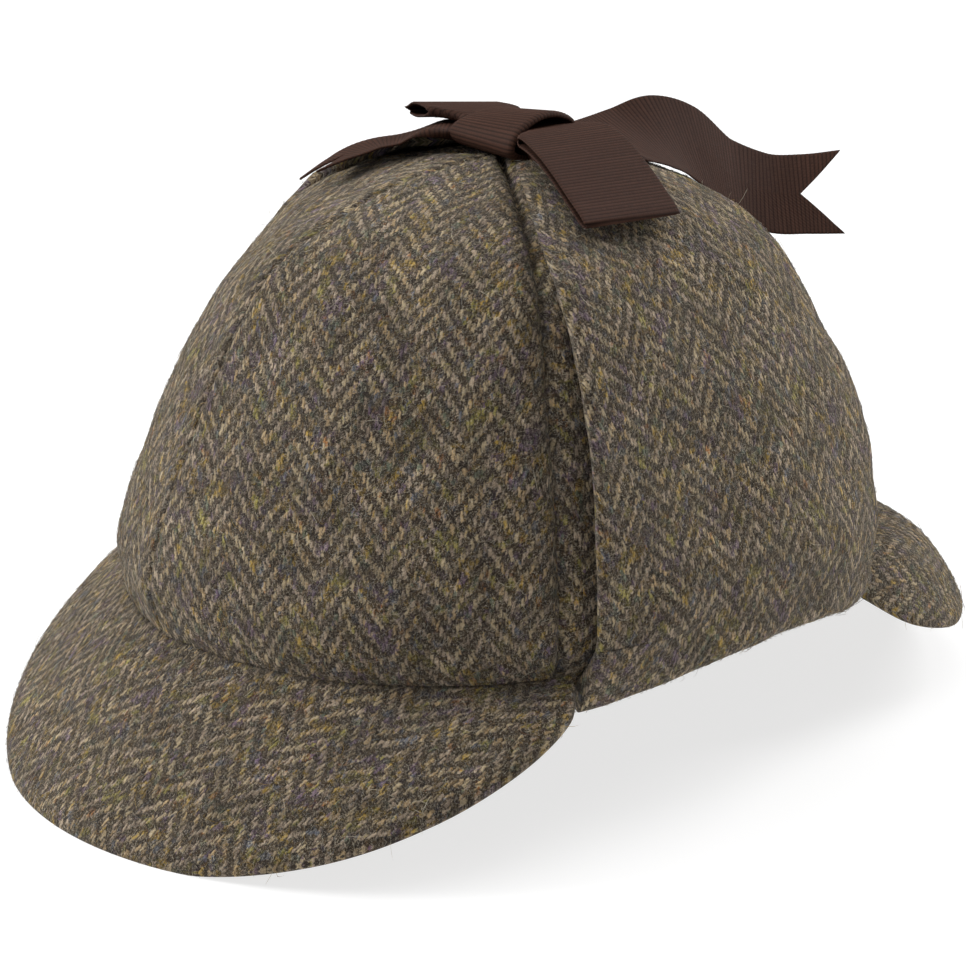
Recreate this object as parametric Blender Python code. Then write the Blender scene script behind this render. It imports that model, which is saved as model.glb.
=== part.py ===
"""Deerstalker hat: a six-panel tweed crown, a peak at the front and one at the back, two ear
flaps turned up over the sides, and the grosgrain ribbon that ties the flaps together on top.

+Z is up, the front looks along -Y and the wearer's left is +X. Z = 0 is the surface on which
the rims of the two peaks rest. Sizes here are in millimetres; add_piece makes them metres.
Angles round the crown are in degrees from the front centre, positive towards the wearer's left.
"""

import math
from bisect import bisect_left
from collections import namedtuple

import bpy
from mathutils import Vector

HAT = "deerstalker_hat"  # the empty that carries the pieces
MM = 0.001
UP = Vector((0.0, 0.0, 1.0))
SHARP_ANGLE = 50.0  # folds sharper than this, in degrees, stay sharp

Finish = namedtuple("Finish", "colour roughness")
TWEED = Finish((0.19, 0.155, 0.115), 0.95)
GROSGRAIN = Finish((0.047, 0.027, 0.022), 0.75)

# Crown: an oval dome. Its profile is given as fractions of its height and of its half sizes.
CROWN_HALF_WIDTH = 85.8
CROWN_HALF_LENGTH = 98.9
CROWN_CENTRE_Y = -1.2
CROWN_TOP = 145.0
CROWN_CLOTH = 2.4
SEAM_ANGLES = (-6.0, 64.0, 122.0, 180.0, 238.0, 296.0, 354.0)  # the panel seams, round the crown
PANEL_RIDGE = 0.014  # how far a panel seam stands out, as a share of the radius
RIDGE_FADE = 0.4  # share of the height over which that grows from nothing at the bottom
CROWN_COLUMNS = 60
CROWN_ROWS = 17
CROWN_LINING_ROWS = 9  # rows on the inner face

ProfileRow = namedtuple("ProfileRow", "height radius")
CROWN_PROFILE = (
    ProfileRow(-0.035, 0.970),  # the cut edge, behind the peaks
    ProfileRow(0.000, 0.984),  # the seam to the peaks
    ProfileRow(0.050, 1.003),
    ProfileRow(0.140, 1.010),
    ProfileRow(0.280, 0.965),
    ProfileRow(0.450, 0.890),
    ProfileRow(0.620, 0.797),
    ProfileRow(0.770, 0.685),
    ProfileRow(0.885, 0.535),
    ProfileRow(0.960, 0.340),
    ProfileRow(0.993, 0.150),
    ProfileRow(1.000, 0.000),
)

SeamRow = namedtuple("SeamRow", "angle height")
CROWN_SEAM = (
    SeamRow(0, 40.0),
    SeamRow(30, 40.0),
    SeamRow(55, 40.2),
    SeamRow(68, 41.8),
    SeamRow(82, 46.2),
    SeamRow(96, 48.8),
    SeamRow(110, 47.6),
    SeamRow(124, 44.4),
    SeamRow(150, 46.5),
    SeamRow(180, 48.0),
)

# Peaks: stiffened crescents sewn to the crown. A row says how far the rim reaches out from
# the crown and how high it is above the floor.
GAP = 0.35  # between sewn pieces
PEAK_THICKNESS = 4.0
PEAK_EDGE_THICKNESS = 1.8
PEAK_EDGE_START = 0.72  # share of the reach where the thickness starts to fall to the rim's
FRONT_BULGE = 2.0  # how far a peak's top rises above the straight line from seam to rim
BACK_BULGE = 8.0
BULGE_SKEW = 1.2  # above 1, the bulge lies nearer to the rim
FULL_BULGE_REACH = 20.0  # a narrower stretch bulges less
PEAK_COLUMNS = 40
END_CROWDING = 0.05  # how much closer the columns are at a peak's two ends
PEAK_WIDTHS = (0.0, 0.14, 0.34, 0.56, 0.78, 0.93, 1.0)

# The front peak is half an ellipse that reaches out from the crown. Its rim lies on the
# surface in the middle and curls up to its two ends.
FRONT_SPREAD = 65.5  # degrees from the middle to an end
FRONT_REACH = 34.6
PEAK_END_REACH = 3.6
FRONT_END_HEIGHT = 37.0
FRONT_FLAT = 0.2  # share of the spread that lies on the surface
FRONT_CURL = 1.7  # power with which the rest rises
FRONT_STEPS = 6  # rows from the middle to an end

PeakRow = namedtuple("PeakRow", "angle reach rim")
BACK_PEAK = (
    PeakRow(127, 3.6, 36.0),
    PeakRow(134, 15.0, 25.5),
    PeakRow(144, 25.5, 18.5),
    PeakRow(155, 31.8, 15.5),
    PeakRow(167, 35.2, 7.5),
    PeakRow(180, 37.2, 0.4),
    PeakRow(193, 36.0, 0.0),
    PeakRow(205, 32.5, 6.0),
    PeakRow(216, 26.0, 16.0),
    PeakRow(226, 15.0, 25.0),
    PeakRow(233, 3.6, 36.0),
)

# Ear flaps: double cloth, hinged under the crown's cut edge and turned up over the sides. A
# row is one rise: the angle above the horizontal, seen from the front, about the hinge line.
# It gives the front and rear edge, how far the front edge stands off the crown, and the
# thickness of the cloth.
FLAP_HINGE_Z = 40.0
FLAP_CLEARANCE = 0.9
FLAP_EDGE_THICKNESS = 1.8
FLAP_EDGE_ROUND = 3.5
FLAP_ACROSS = (0.0, 0.02, 0.06, 0.14, 0.25, 0.36, 0.46, 0.55, 0.64, 0.73, 0.82, 0.9, 0.95, 0.98, 1.0)
FLAP_ROWS = 15
CLOTH_PER_DEGREE = 1.8  # of rise
LIFT_SHARE = 0.35  # share of the width, from the front edge, that stands off the crown
LIFT_POWER = 1.5
RIGHT_FLAP_BACK = 9.0  # how far back the tip of the right flap is tied, against the left one
RIGHT_FLAP_LIFT = 0.3  # how far its front edge stands off, as a share of the left one's

FlapRow = namedtuple("FlapRow", "rise front rear lift thickness")
EAR_FLAP = (
    FlapRow(7, -40.0, 55.5, 3.0, 4.1),
    FlapRow(16, -39.0, 58.5, 4.6, 4.1),
    FlapRow(27, -36.6, 60.0, 5.0, 4.1),
    FlapRow(38, -33.8, 60.0, 4.6, 4.1),
    FlapRow(48, -31.0, 58.0, 3.8, 4.0),
    FlapRow(57, -28.2, 55.0, 2.8, 3.7),
    FlapRow(65, -24.0, 49.0, 1.6, 3.3),
    FlapRow(72, -18.5, 39.0, 0.7, 2.8),
    FlapRow(78, -12.5, 28.0, 0.1, 2.4),
    FlapRow(82, -8.0, 20.0, 0.0, 2.2),
)
# The turned edge of a flap: distances out from the crown's cut edge and up from it, along
# the flap's inner face and along its outer face.
FoldRow = namedtuple("FoldRow", "inner_out inner_up outer_out outer_up")
FLAP_FOLD = (
    FoldRow(-2.0, -0.4, -2.0, -3.4),
    FoldRow(-0.4, -0.4, 1.0, -5.2),
    FoldRow(0.9, -0.4, 4.2, -4.6),
    FoldRow(1.6, 1.6, 6.4, -1.4),
)

# Ribbon: grosgrain. A row is a point on the middle line, the lean, in degrees by which the
# edge on the left rises (seen along the first stretch), and the width as a share of the whole.
RIBBON_WIDTH = 26.0
RIBBON_THICKNESS = 1.0
NOTCH_DEPTH = 11.0  # of the tails' swallowtail ends
RIBBON_ACROSS = (-1.0, -0.5, 0.0, 0.5, 1.0)

RibbonRow = namedtuple("RibbonRow", "x y z lean width")
KNOT = (
    RibbonRow(0.6, 10.6, 146.1, 0, 0.90),
    RibbonRow(0.6, 1.0, 146.1, 0, 0.90),
    RibbonRow(0.6, -5.4, 147.0, 0, 0.90),
    RibbonRow(0.6, -7.9, 149.6, 0, 0.90),
    RibbonRow(0.6, -6.0, 152.8, 3, 0.90),
    RibbonRow(0.6, -0.5, 155.0, 7, 0.90),
    RibbonRow(0.6, 5.5, 155.6, 8, 0.90),
    RibbonRow(0.6, 11.2, 154.0, 6, 0.90),
    RibbonRow(0.6, 13.4, 151.2, 3, 0.90),
    RibbonRow(0.6, 12.8, 149.6, 0, 0.90),
)
TIE = (
    RibbonRow(2.0, 3.4, 147.4, 0, 0.40),
    RibbonRow(7.0, 3.4, 147.5, 0, 0.42),
    RibbonRow(12.0, 3.5, 147.9, 0, 0.46),
    RibbonRow(16.5, 3.8, 148.2, 0, 0.66),
    RibbonRow(20.5, 4.0, 147.9, 0, 0.70),
)
LOOP_LEFT = (
    RibbonRow(3.0, 3.4, 152.8, 0, 0.42),
    RibbonRow(9.0, 3.4, 153.1, 0, 0.44),
    RibbonRow(13.2, 3.3, 153.7, 0, 0.52),
    RibbonRow(17.6, 3.1, 154.3, 0, 0.90),
    RibbonRow(22.5, 2.6, 153.7, 0, 1.0),
    RibbonRow(29.5, 1.5, 151.6, 0, 1.0),
    RibbonRow(37.0, 0.2, 148.2, 0, 1.0),
    RibbonRow(44.5, -1.2, 144.2, 0, 1.0),
    RibbonRow(50.0, -2.2, 141.2, 0, 1.0),
    RibbonRow(51.6, -2.5, 139.6, 0, 1.0),
    RibbonRow(49.6, -2.2, 139.4, 0, 1.0),
    RibbonRow(44.0, -1.2, 142.6, 0, 1.0),
    RibbonRow(36.6, 0.2, 146.6, 0, 1.0),
    RibbonRow(29.0, 1.6, 149.9, 0, 1.0),
    RibbonRow(22.5, 2.6, 151.6, 0, 1.0),
    RibbonRow(17.6, 3.1, 152.1, 0, 0.90),
    RibbonRow(13.2, 3.3, 151.9, 0, 0.56),
    RibbonRow(9.0, 3.4, 151.2, 0, 0.45),
    RibbonRow(3.0, 3.4, 150.6, 0, 0.42),
)
LOOP_RIGHT = (
    RibbonRow(-0.6, 3.4, 151.6, 0, 0.42),
    RibbonRow(-6.5, 3.4, 151.6, 0, 0.42),
    RibbonRow(-11.5, 3.8, 151.8, 0, 0.42),
    RibbonRow(-14.8, 4.8, 152.2, 2, 0.52),
    RibbonRow(-18.4, 6.0, 152.4, 5, 0.88),
    RibbonRow(-22.2, 7.0, 152.3, 6, 1.0),
    RibbonRow(-26.0, 7.6, 152.1, 7, 1.0),
    RibbonRow(-29.4, 8.0, 151.6, 7, 1.0),
    RibbonRow(-31.6, 8.2, 150.2, 7, 1.0),
    RibbonRow(-30.6, 8.2, 148.9, 7, 1.0),
    RibbonRow(-27.0, 7.9, 148.9, 6, 1.0),
    RibbonRow(-22.6, 7.1, 149.9, 5, 1.0),
    RibbonRow(-18.4, 6.0, 150.7, 4, 0.88),
    RibbonRow(-14.8, 4.8, 150.9, 2, 0.52),
    RibbonRow(-11.5, 3.8, 150.5, 0, 0.42),
    RibbonRow(-6.5, 3.4, 150.1, 0, 0.42),
    RibbonRow(-0.6, 3.4, 150.1, 0, 0.42),
)
TAIL_FRONT = (
    RibbonRow(-0.6, 3.2, 148.75, 0, 0.40),
    RibbonRow(-6.5, 3.0, 148.8, 0, 0.40),
    RibbonRow(-11.5, 2.0, 149.1, 0, 0.42),
    RibbonRow(-16.2, -0.4, 149.4, 1, 0.56),
    RibbonRow(-21.0, -5.2, 149.1, 8, 0.86),
    RibbonRow(-26.4, -10.8, 145.8, 8, 1.0),
    RibbonRow(-31.0, -17.0, 144.3, 9, 1.0),
    RibbonRow(-34.8, -24.6, 141.2, 13, 1.0),
    RibbonRow(-38.3, -31.7, 137.2, 18, 1.0),
)
TAIL_BACK = (
    RibbonRow(0.5, 20.0, 148.6, 5, 0.50),
    RibbonRow(1.0, 26.5, 146.5, 8, 0.72),
    RibbonRow(0.0, 35.5, 143.4, 14, 0.95),
    RibbonRow(-1.5, 46.5, 141.9, 26, 1.0),
    RibbonRow(-2.0, 57.0, 140.7, 44, 1.0),
    RibbonRow(0.0, 66.5, 135.9, 50, 1.0),
    RibbonRow(4.0, 74.0, 127.9, 40, 1.0),
    RibbonRow(9.5, 81.0, 124.3, 38, 1.0),
    RibbonRow(15.0, 88.5, 124.0, 38, 1.0),
    RibbonRow(21.0, 96.0, 124.6, 42, 1.0),
)


def spline(rows, t):
    """The Catmull-Rom value at t, 0 at the first row and 1 at the last, column by column."""
    span = t * (len(rows) - 1)
    i = min(int(span), len(rows) - 2)
    f = span - i
    before = rows[i - 1] if i > 0 else [2 * a - b for a, b in zip(rows[0], rows[1])]
    after = rows[i + 2] if i + 2 < len(rows) else [2 * b - a for a, b in zip(rows[-2], rows[-1])]
    values = []
    for p0, p1, p2, p3 in zip(before, rows[i], rows[i + 1], after):
        square = 2 * p0 - 5 * p1 + 4 * p2 - p3
        cubic = 3 * p1 - p0 - 3 * p2 + p3
        values.append(0.5 * (2 * p1 + (p2 - p0) * f + square * f**2 + cubic * f**3))
    return values


def spline_at(rows, key):
    """The spline's other columns where its first column, which rises, has the value key."""
    low, high = 0.0, 1.0
    for _ in range(24):
        middle = (low + high) / 2
        if spline(rows, middle)[0] < key:
            low = middle
        else:
            high = middle
    return spline(rows, low)[1:]


def evenly(count):
    """Numbers from 0 to 1 at even steps."""
    return [i / (count - 1) for i in range(count)]


def add_piece(name, vertices, faces, finish):
    """One closed body with its own material, smooth apart from its folds."""
    mesh = bpy.data.meshes.new(name)
    mesh.from_pydata([Vector(v) * MM for v in vertices], [], faces)
    mesh.update()
    mesh.shade_smooth()
    mesh.set_sharp_from_angle(angle=math.radians(SHARP_ANGLE))
    material = bpy.data.materials.new(name)
    material.use_nodes = True
    shader = material.node_tree.nodes["Principled BSDF"]
    shader.inputs["Base Color"].default_value = (*finish.colour, 1.0)
    shader.inputs["Roughness"].default_value = finish.roughness
    shader.inputs["Metallic"].default_value = 0.0
    mesh.materials.append(material)
    piece = bpy.data.objects.new(name, mesh)
    piece.parent = bpy.data.objects[HAT]
    bpy.context.scene.collection.objects.link(piece)


def slab(outer, inner):
    """Vertices and faces of a closed body between two grids of points of the same size."""
    rows, columns = len(outer), len(outer[0])
    vertices = [p for grid in (outer, inner) for row in grid for p in row]
    under = rows * columns

    def index(i, j):
        return i * columns + j

    faces = []
    for i in range(rows - 1):
        for j in range(columns - 1):
            quad = (index(i, j), index(i, j + 1), index(i + 1, j + 1), index(i + 1, j))
            faces.append(quad)
            faces.append(tuple(under + v for v in reversed(quad)))
    border = [index(0, j) for j in range(columns)]
    border += [index(i, columns - 1) for i in range(1, rows)]
    border += [index(rows - 1, j) for j in range(columns - 2, -1, -1)]
    border += [index(i, 0) for i in range(rows - 2, 0, -1)]
    for a, b in zip(border, border[1:] + border[:1]):
        faces.append((b, a, under + a, under + b))
    return vertices, faces


def seam_height(angle):
    """Height of the crown's seam to the peaks, the same on both sides."""
    turned = abs((angle + 180) % 360 - 180)
    return spline_at(CROWN_SEAM, turned)[0]


def seam_table():
    return [seam_height(angle) for angle in range(361)]


SEAM_HEIGHTS = seam_table()
PROFILE_SAMPLES = [spline(CROWN_PROFILE, t) for t in evenly(331)]
PROFILE_HEIGHTS = [sample[0] for sample in PROFILE_SAMPLES]


def seam_z(angle):
    """seam_height read between whole degrees."""
    turned = angle % 360
    low = int(turned)
    f = turned - low
    return SEAM_HEIGHTS[low] * (1 - f) + SEAM_HEIGHTS[(low + 1) % 360] * f


def panel_swell(angle, height):
    """The crown stands out at its panel seams, less so at the bottom."""
    turned = (angle - SEAM_ANGLES[0]) % 360 + SEAM_ANGLES[0]
    number = min(max(bisect_left(SEAM_ANGLES, turned), 1), len(SEAM_ANGLES) - 1)
    low, high = SEAM_ANGLES[number - 1], SEAM_ANGLES[number]
    fade = math.sin(math.pi / 2 * min(1.0, max(0.0, height / RIDGE_FADE)))
    return 1 + PANEL_RIDGE * math.cos(2 * math.pi * (turned - low) / (high - low)) * fade


def crown_point(angle, t):
    """Outer face of the crown, from its cut edge at t = 0 to the top at t = 1."""
    height, radius = spline(CROWN_PROFILE, t)
    seam = seam_z(angle)
    share = radius * panel_swell(angle, height)
    x = CROWN_HALF_WIDTH * share * math.sin(math.radians(angle))
    y = CROWN_CENTRE_Y - CROWN_HALF_LENGTH * share * math.cos(math.radians(angle))
    return Vector((x, y, seam + height * (CROWN_TOP - seam)))


def crown_outward(angle):
    """Level direction straight out of the crown's oval at an angle."""
    turn = math.radians(angle)
    out = Vector((math.sin(turn) / CROWN_HALF_WIDTH, -math.cos(turn) / CROWN_HALF_LENGTH, 0))
    return out.normalized()


def crown_level(point):
    """Below zero inside the crown's outer face, zero on it and above zero outside."""
    across = point.x / CROWN_HALF_WIDTH
    along = (CROWN_CENTRE_Y - point.y) / CROWN_HALF_LENGTH
    angle = math.degrees(math.atan2(across, along))
    seam = seam_z(angle)
    height = (point.z - seam) / (CROWN_TOP - seam)
    if height >= 1:
        return math.hypot(across, along) + height - 1
    i = min(max(bisect_left(PROFILE_HEIGHTS, height), 1), len(PROFILE_HEIGHTS) - 1)
    (h0, r0), (h1, r1) = PROFILE_SAMPLES[i - 1], PROFILE_SAMPLES[i]
    radius = r0 + (r1 - r0) * (height - h0) / (h1 - h0)
    return math.hypot(across, along) - radius * panel_swell(angle, height)


def crown_normal(point, step=0.4):
    """Outward direction of the crown's face at a point on it."""
    slopes = []
    for axis in range(3):
        offset = Vector((0.0, 0.0, 0.0))
        offset[axis] = step
        slopes.append(crown_level(point + offset) - crown_level(point - offset))
    return Vector(slopes).normalized()


def crown_along(start, direction, reach=130.0):
    """Where a line from inside the crown meets its outer face."""
    low, high = 0.0, reach
    for _ in range(30):
        middle = (low + high) / 2
        if crown_level(start + direction * middle) < 0:
            low = middle
        else:
            high = middle
    return start + direction * low


def build_crown():
    angles = [360.0 * i / CROWN_COLUMNS for i in range(CROWN_COLUMNS)]
    steps = [i / CROWN_ROWS for i in range(CROWN_ROWS)]
    lining_steps = [i / CROWN_LINING_ROWS for i in range(CROWN_LINING_ROWS)]
    rings = [[crown_point(a, t) for a in angles] for t in reversed(steps)]
    for t in lining_steps:
        ring = [crown_point(a, t) for a in angles]
        rings.append([p - crown_normal(p) * CROWN_CLOTH for p in ring])
    vertices = [p for ring in rings for p in ring]
    faces = []
    for i in range(len(rings) - 1):
        for j in range(CROWN_COLUMNS):
            k = (j + 1) % CROWN_COLUMNS
            upper, lower = i * CROWN_COLUMNS, (i + 1) * CROWN_COLUMNS
            faces.append((upper + j, lower + j, lower + k, upper + k))
    top = crown_point(0.0, 1.0)
    outer_top, inner_top = len(vertices), len(vertices) + 1
    vertices += [top, top - UP * CROWN_CLOTH]
    last = (len(rings) - 1) * CROWN_COLUMNS
    for j in range(CROWN_COLUMNS):
        k = (j + 1) % CROWN_COLUMNS
        faces.append((outer_top, j, k))
        faces.append((inner_top, last + k, last + j))
    add_piece("crown", vertices, faces, TWEED)


def front_peak_rows():
    """The front peak's rim, in even turns round its half ellipse."""
    rows = []
    for step in range(-FRONT_STEPS, FRONT_STEPS + 1):
        turn = math.pi / 2 * step / FRONT_STEPS
        share = math.sin(turn)
        reach = PEAK_END_REACH + (FRONT_REACH - PEAK_END_REACH) * math.cos(turn)
        risen = max(0.0, abs(share) - FRONT_FLAT) / (1 - FRONT_FLAT)
        rows.append(PeakRow(FRONT_SPREAD * share, reach, FRONT_END_HEIGHT * risen**FRONT_CURL))
    return rows


def peak_section(angle, reach, rim, height):
    """Top and underside of a peak at one angle, from the seam out to the rim."""
    base = crown_point(angle, 1 / (len(CROWN_PROFILE) - 1))
    out = crown_outward(angle)
    fullness = min(1.0, reach / FULL_BULGE_REACH)
    top, under = [], []
    for w in PEAK_WIDTHS:
        drop = (base.z - rim - PEAK_EDGE_THICKNESS) * w
        bulge = height * math.sin(math.pi * w**BULGE_SKEW) * fullness
        point = base + out * (GAP + reach * w) + UP * (bulge - drop)
        thinning = max(0.0, (w - PEAK_EDGE_START) / (1 - PEAK_EDGE_START))
        body = (PEAK_THICKNESS - PEAK_EDGE_THICKNESS) * math.sqrt(1 - thinning**2)
        depth = PEAK_EDGE_THICKNESS + body
        top.append(point)
        under.append(point - UP * depth)
    return top, under


def build_peak(name, rows, bulge):
    first, last = rows[0].angle, rows[-1].angle
    top, under = [], []
    for s in evenly(PEAK_COLUMNS):
        angle = first + (last - first) * (s - END_CROWDING * math.sin(2 * math.pi * s))
        reach, rim = spline_at(rows, angle)
        section = peak_section(angle, reach, max(0.0, rim), bulge)
        top.append(section[0])
        under.append(section[1])
    vertices, faces = slab(top, under)
    add_piece(name, vertices, faces, TWEED)


def edge_share(distance):
    """How full a flap's thickness is at a distance in from its edge, rounded like a fold."""
    inward = min(1.0, max(0.0, distance / FLAP_EDGE_ROUND))
    return math.sqrt(1 - (1 - inward) ** 2)


def flap_fold_points(y, row):
    """A point on the inner and one on the outer face of the turned edge under the crown."""
    radius = CROWN_HALF_LENGTH * CROWN_PROFILE[0].radius
    angle = math.degrees(math.acos((CROWN_CENTRE_Y - y) / radius))
    base = crown_point(angle, 0.0)
    out = crown_outward(angle)
    inner = base + out * row.inner_out + UP * row.inner_up
    outer = base + out * row.outer_out + UP * row.outer_up
    return inner, outer


def flap_points(rise, y, lift, thickness):
    """A point on the inner and one on the outer face of the left flap, over the crown."""
    turn = math.radians(rise)
    start = Vector((0.0, y, FLAP_HINGE_Z))
    point = crown_along(start, Vector((math.cos(turn), 0.0, math.sin(turn))))
    normal = crown_normal(point)
    inner = point + normal * (FLAP_CLEARANCE + lift)
    return inner, inner + normal * thickness


def flap_grids(back, lift_share):
    """Outer and inner face of the left flap; back is how far back its tip is tied, and lift_share
    how much of the rows' lift its front edge has."""
    outer, inner = [], []
    first, tip = EAR_FLAP[0], EAR_FLAP[-1]
    for row in FLAP_FOLD:
        ys = [first.front + (first.rear - first.front) * s for s in FLAP_ACROSS]
        pairs = [flap_fold_points(y, row) for y in ys]
        inner.append([a for a, b in pairs])
        outer.append([b for a, b in pairs])
    for t in evenly(FLAP_ROWS):
        rise, front, rear, lift, full = spline(EAR_FLAP, t)
        front += back * (rise - first.rise) / (tip.rise - first.rise)
        width = rear - front
        to_tip = (tip.rise - rise) * CLOTH_PER_DEGREE
        pairs = []
        for s in FLAP_ACROSS:
            from_edge = min(s * width, (1 - s) * width, to_tip)
            stand = lift * lift_share * max(0.0, 1 - s / LIFT_SHARE) ** LIFT_POWER
            thickness = FLAP_EDGE_THICKNESS + (full - FLAP_EDGE_THICKNESS) * edge_share(from_edge)
            pairs.append(flap_points(rise, front + width * s, stand, thickness))
        inner.append([a for a, b in pairs])
        outer.append([b for a, b in pairs])
    return outer, inner


def build_flaps():
    vertices, faces = slab(*flap_grids(0.0, 1.0))
    add_piece("ear_flap_left", vertices, faces, TWEED)
    vertices, faces = slab(*flap_grids(RIGHT_FLAP_BACK, RIGHT_FLAP_LIFT))
    mirror_image = [Vector((-v.x, v.y, v.z)) for v in vertices]
    facing_out = [tuple(reversed(face)) for face in faces]
    add_piece("ear_flap_right", mirror_image, facing_out, TWEED)


def ribbon_frames(rows, steps):
    """Centre, side direction, normal and half width of a ribbon at even steps along its rows."""
    path = [spline(rows, t) for t in evenly(steps)]
    centres = [Vector(p[:3]) for p in path]
    level = UP.cross(centres[1] - centres[0]).normalized()
    frames = []
    for i in range(steps):
        ahead = centres[min(i + 1, steps - 1)] - centres[max(i - 1, 0)]
        ahead.normalize()
        level -= ahead * level.dot(ahead)
        level.z = 0.0
        level.normalize()
        lean, width = path[i][3:]
        side = level * math.cos(math.radians(lean)) + UP * math.sin(math.radians(lean))
        frames.append((centres[i], side, ahead.cross(side).normalized(), width * RIBBON_WIDTH / 2))
    return frames


def frame_at(frames, t):
    """ribbon_frames read between its steps, t from 0 at the first to 1 at the last."""
    span = t * (len(frames) - 1)
    i = min(int(span), len(frames) - 2)
    return [a.lerp(b, span - i) if isinstance(a, Vector) else a + (b - a) * (span - i)
            for a, b in zip(frames[i], frames[i + 1])]


def build_ribbon(name, rows, steps, notch=0.0):
    """A flat ribbon along its rows; notch is how deep a swallowtail is cut in its last end."""
    frames = ribbon_frames(rows, 4 * steps)
    length = sum((b[0] - a[0]).length for a, b in zip(frames, frames[1:]))
    outer, inner = [], []
    for t in evenly(steps):
        outer_row, inner_row = [], []
        for c in RIBBON_ACROSS:
            end = 1 - notch / length * (1 - abs(c))
            centre, side, normal, half_width = frame_at(frames, t * end)
            point = centre + side * (c * half_width)
            outer_row.append(point + normal * (RIBBON_THICKNESS / 2))
            inner_row.append(point - normal * (RIBBON_THICKNESS / 2))
        outer.append(outer_row)
        inner.append(inner_row)
    vertices, faces = slab(inner, outer)
    add_piece(name, vertices, faces, GROSGRAIN)


def mirrored(rows):
    """The same ribbon on the wearer's other side."""
    return [RibbonRow(-row.x, row.y, row.z, -row.lean, row.width) for row in rows]


def clear_scene():
    for thing in list(bpy.data.objects):
        bpy.data.objects.remove(thing, do_unlink=True)


def main():
    clear_scene()
    bpy.context.scene.collection.objects.link(bpy.data.objects.new(HAT, None))
    build_crown()
    build_peak("front_peak", front_peak_rows(), FRONT_BULGE)
    build_peak("back_peak", BACK_PEAK, BACK_BULGE)
    build_flaps()
    build_ribbon("bow_knot", KNOT, 25)
    build_ribbon("tie_left", TIE, 9)
    build_ribbon("tie_right", mirrored(TIE), 9)
    build_ribbon("bow_loop_left", LOOP_LEFT, 33)
    build_ribbon("bow_loop_right", LOOP_RIGHT, 27)
    build_ribbon("bow_tail_front", TAIL_FRONT, 15, NOTCH_DEPTH)
    build_ribbon("bow_tail_back", TAIL_BACK, 19, NOTCH_DEPTH)


main()
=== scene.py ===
"""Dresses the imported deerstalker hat: herringbone tweed panels, peaks and ear flaps with their
nap, the grosgrain bow on top, the floor, the light and the camera.

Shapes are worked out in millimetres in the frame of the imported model: +Z is up, the front looks
along -Y and the wearer's left is +X. Angles round the crown are in degrees from the front
centre, positive towards the wearer's left. Settings are in metres, as Blender keeps them: mm()
turns them into millimetres, and mesh_piece turns a finished shape back into metres.
"""

import math
from collections import namedtuple

import bpy
import numpy as np
from mathutils import Matrix, Vector


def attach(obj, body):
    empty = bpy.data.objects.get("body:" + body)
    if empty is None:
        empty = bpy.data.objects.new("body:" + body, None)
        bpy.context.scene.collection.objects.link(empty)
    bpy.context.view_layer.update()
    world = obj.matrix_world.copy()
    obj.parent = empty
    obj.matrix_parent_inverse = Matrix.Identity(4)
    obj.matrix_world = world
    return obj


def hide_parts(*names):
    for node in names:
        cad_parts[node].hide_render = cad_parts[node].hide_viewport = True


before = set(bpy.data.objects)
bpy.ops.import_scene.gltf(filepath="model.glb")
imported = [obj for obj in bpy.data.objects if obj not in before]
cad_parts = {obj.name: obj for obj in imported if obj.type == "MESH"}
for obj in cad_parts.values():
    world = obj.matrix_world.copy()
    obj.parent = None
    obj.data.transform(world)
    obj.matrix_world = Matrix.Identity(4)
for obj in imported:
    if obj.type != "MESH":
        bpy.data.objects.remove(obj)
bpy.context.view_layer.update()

bl_info = {
    "name": "Deerstalker hat",
    "version": (1, 0, 0),
    "blender": (4, 5, 0),
    "location": "3D View > Sidebar > Deerstalker",
    "description": "Dresses the packed hat in tweed and ribbon and lights it",
    "category": "Add Mesh",
}

MM = 0.001
BODY = "root"
SETTINGS = "deerstalker_"  # what the names of the scene's groups of settings start with
UP = np.array((0.0, 0.0, 1.0))

# ---- the hat's own measures, mm

CROWN_HALF_WIDTH = 85.8
CROWN_HALF_LENGTH = 98.9
CROWN_CENTRE_Y = -1.2
CROWN_TOP = 145.0
SEAM_ANGLES = (-6.0, 64.0, 122.0, 180.0, 238.0, 296.0, 354.0)  # the panel seams, round the crown
SEAM_DEPTHS = (0.2, 1.0, 0.7, 0.7, 0.7, 0.7, 0.2)  # share of the full groove at each seam
PANEL_RIDGE = 0.014  # how far a panel seam stands out, as a share of the radius
RIDGE_FADE = 0.4  # share of the height over which that grows from nothing at the bottom

# height and radius, as shares of the crown's height and half sizes
CROWN_PROFILE = (
    (-0.035, 0.970), (0.000, 0.984), (0.050, 1.003), (0.140, 1.010), (0.280, 0.965),
    (0.450, 0.890), (0.620, 0.797), (0.770, 0.685), (0.885, 0.535), (0.960, 0.340),
    (0.993, 0.150), (1.000, 0.000),
)
# angle and height of the seam to the peaks
CROWN_SEAM = (
    (0, 40.0), (30, 40.0), (55, 40.2), (68, 41.8), (82, 46.2), (96, 48.8), (110, 47.6),
    (124, 44.4), (150, 46.5), (180, 48.0),
)
# The front peak is half an ellipse that reaches out from the crown; its rim lies on the floor
# in the middle and curls up to its two ends
FRONT_SPREAD = 65.5  # degrees from the middle to an end
FRONT_REACH = 34.6
PEAK_END_REACH = 3.6
FRONT_END_HEIGHT = 37.0
FRONT_FLAT = 0.2  # share of the spread that lies on the floor
FRONT_CURL = 1.7  # power with which the rest rises
FRONT_STEPS = 6  # rows from the middle to an end
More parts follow.
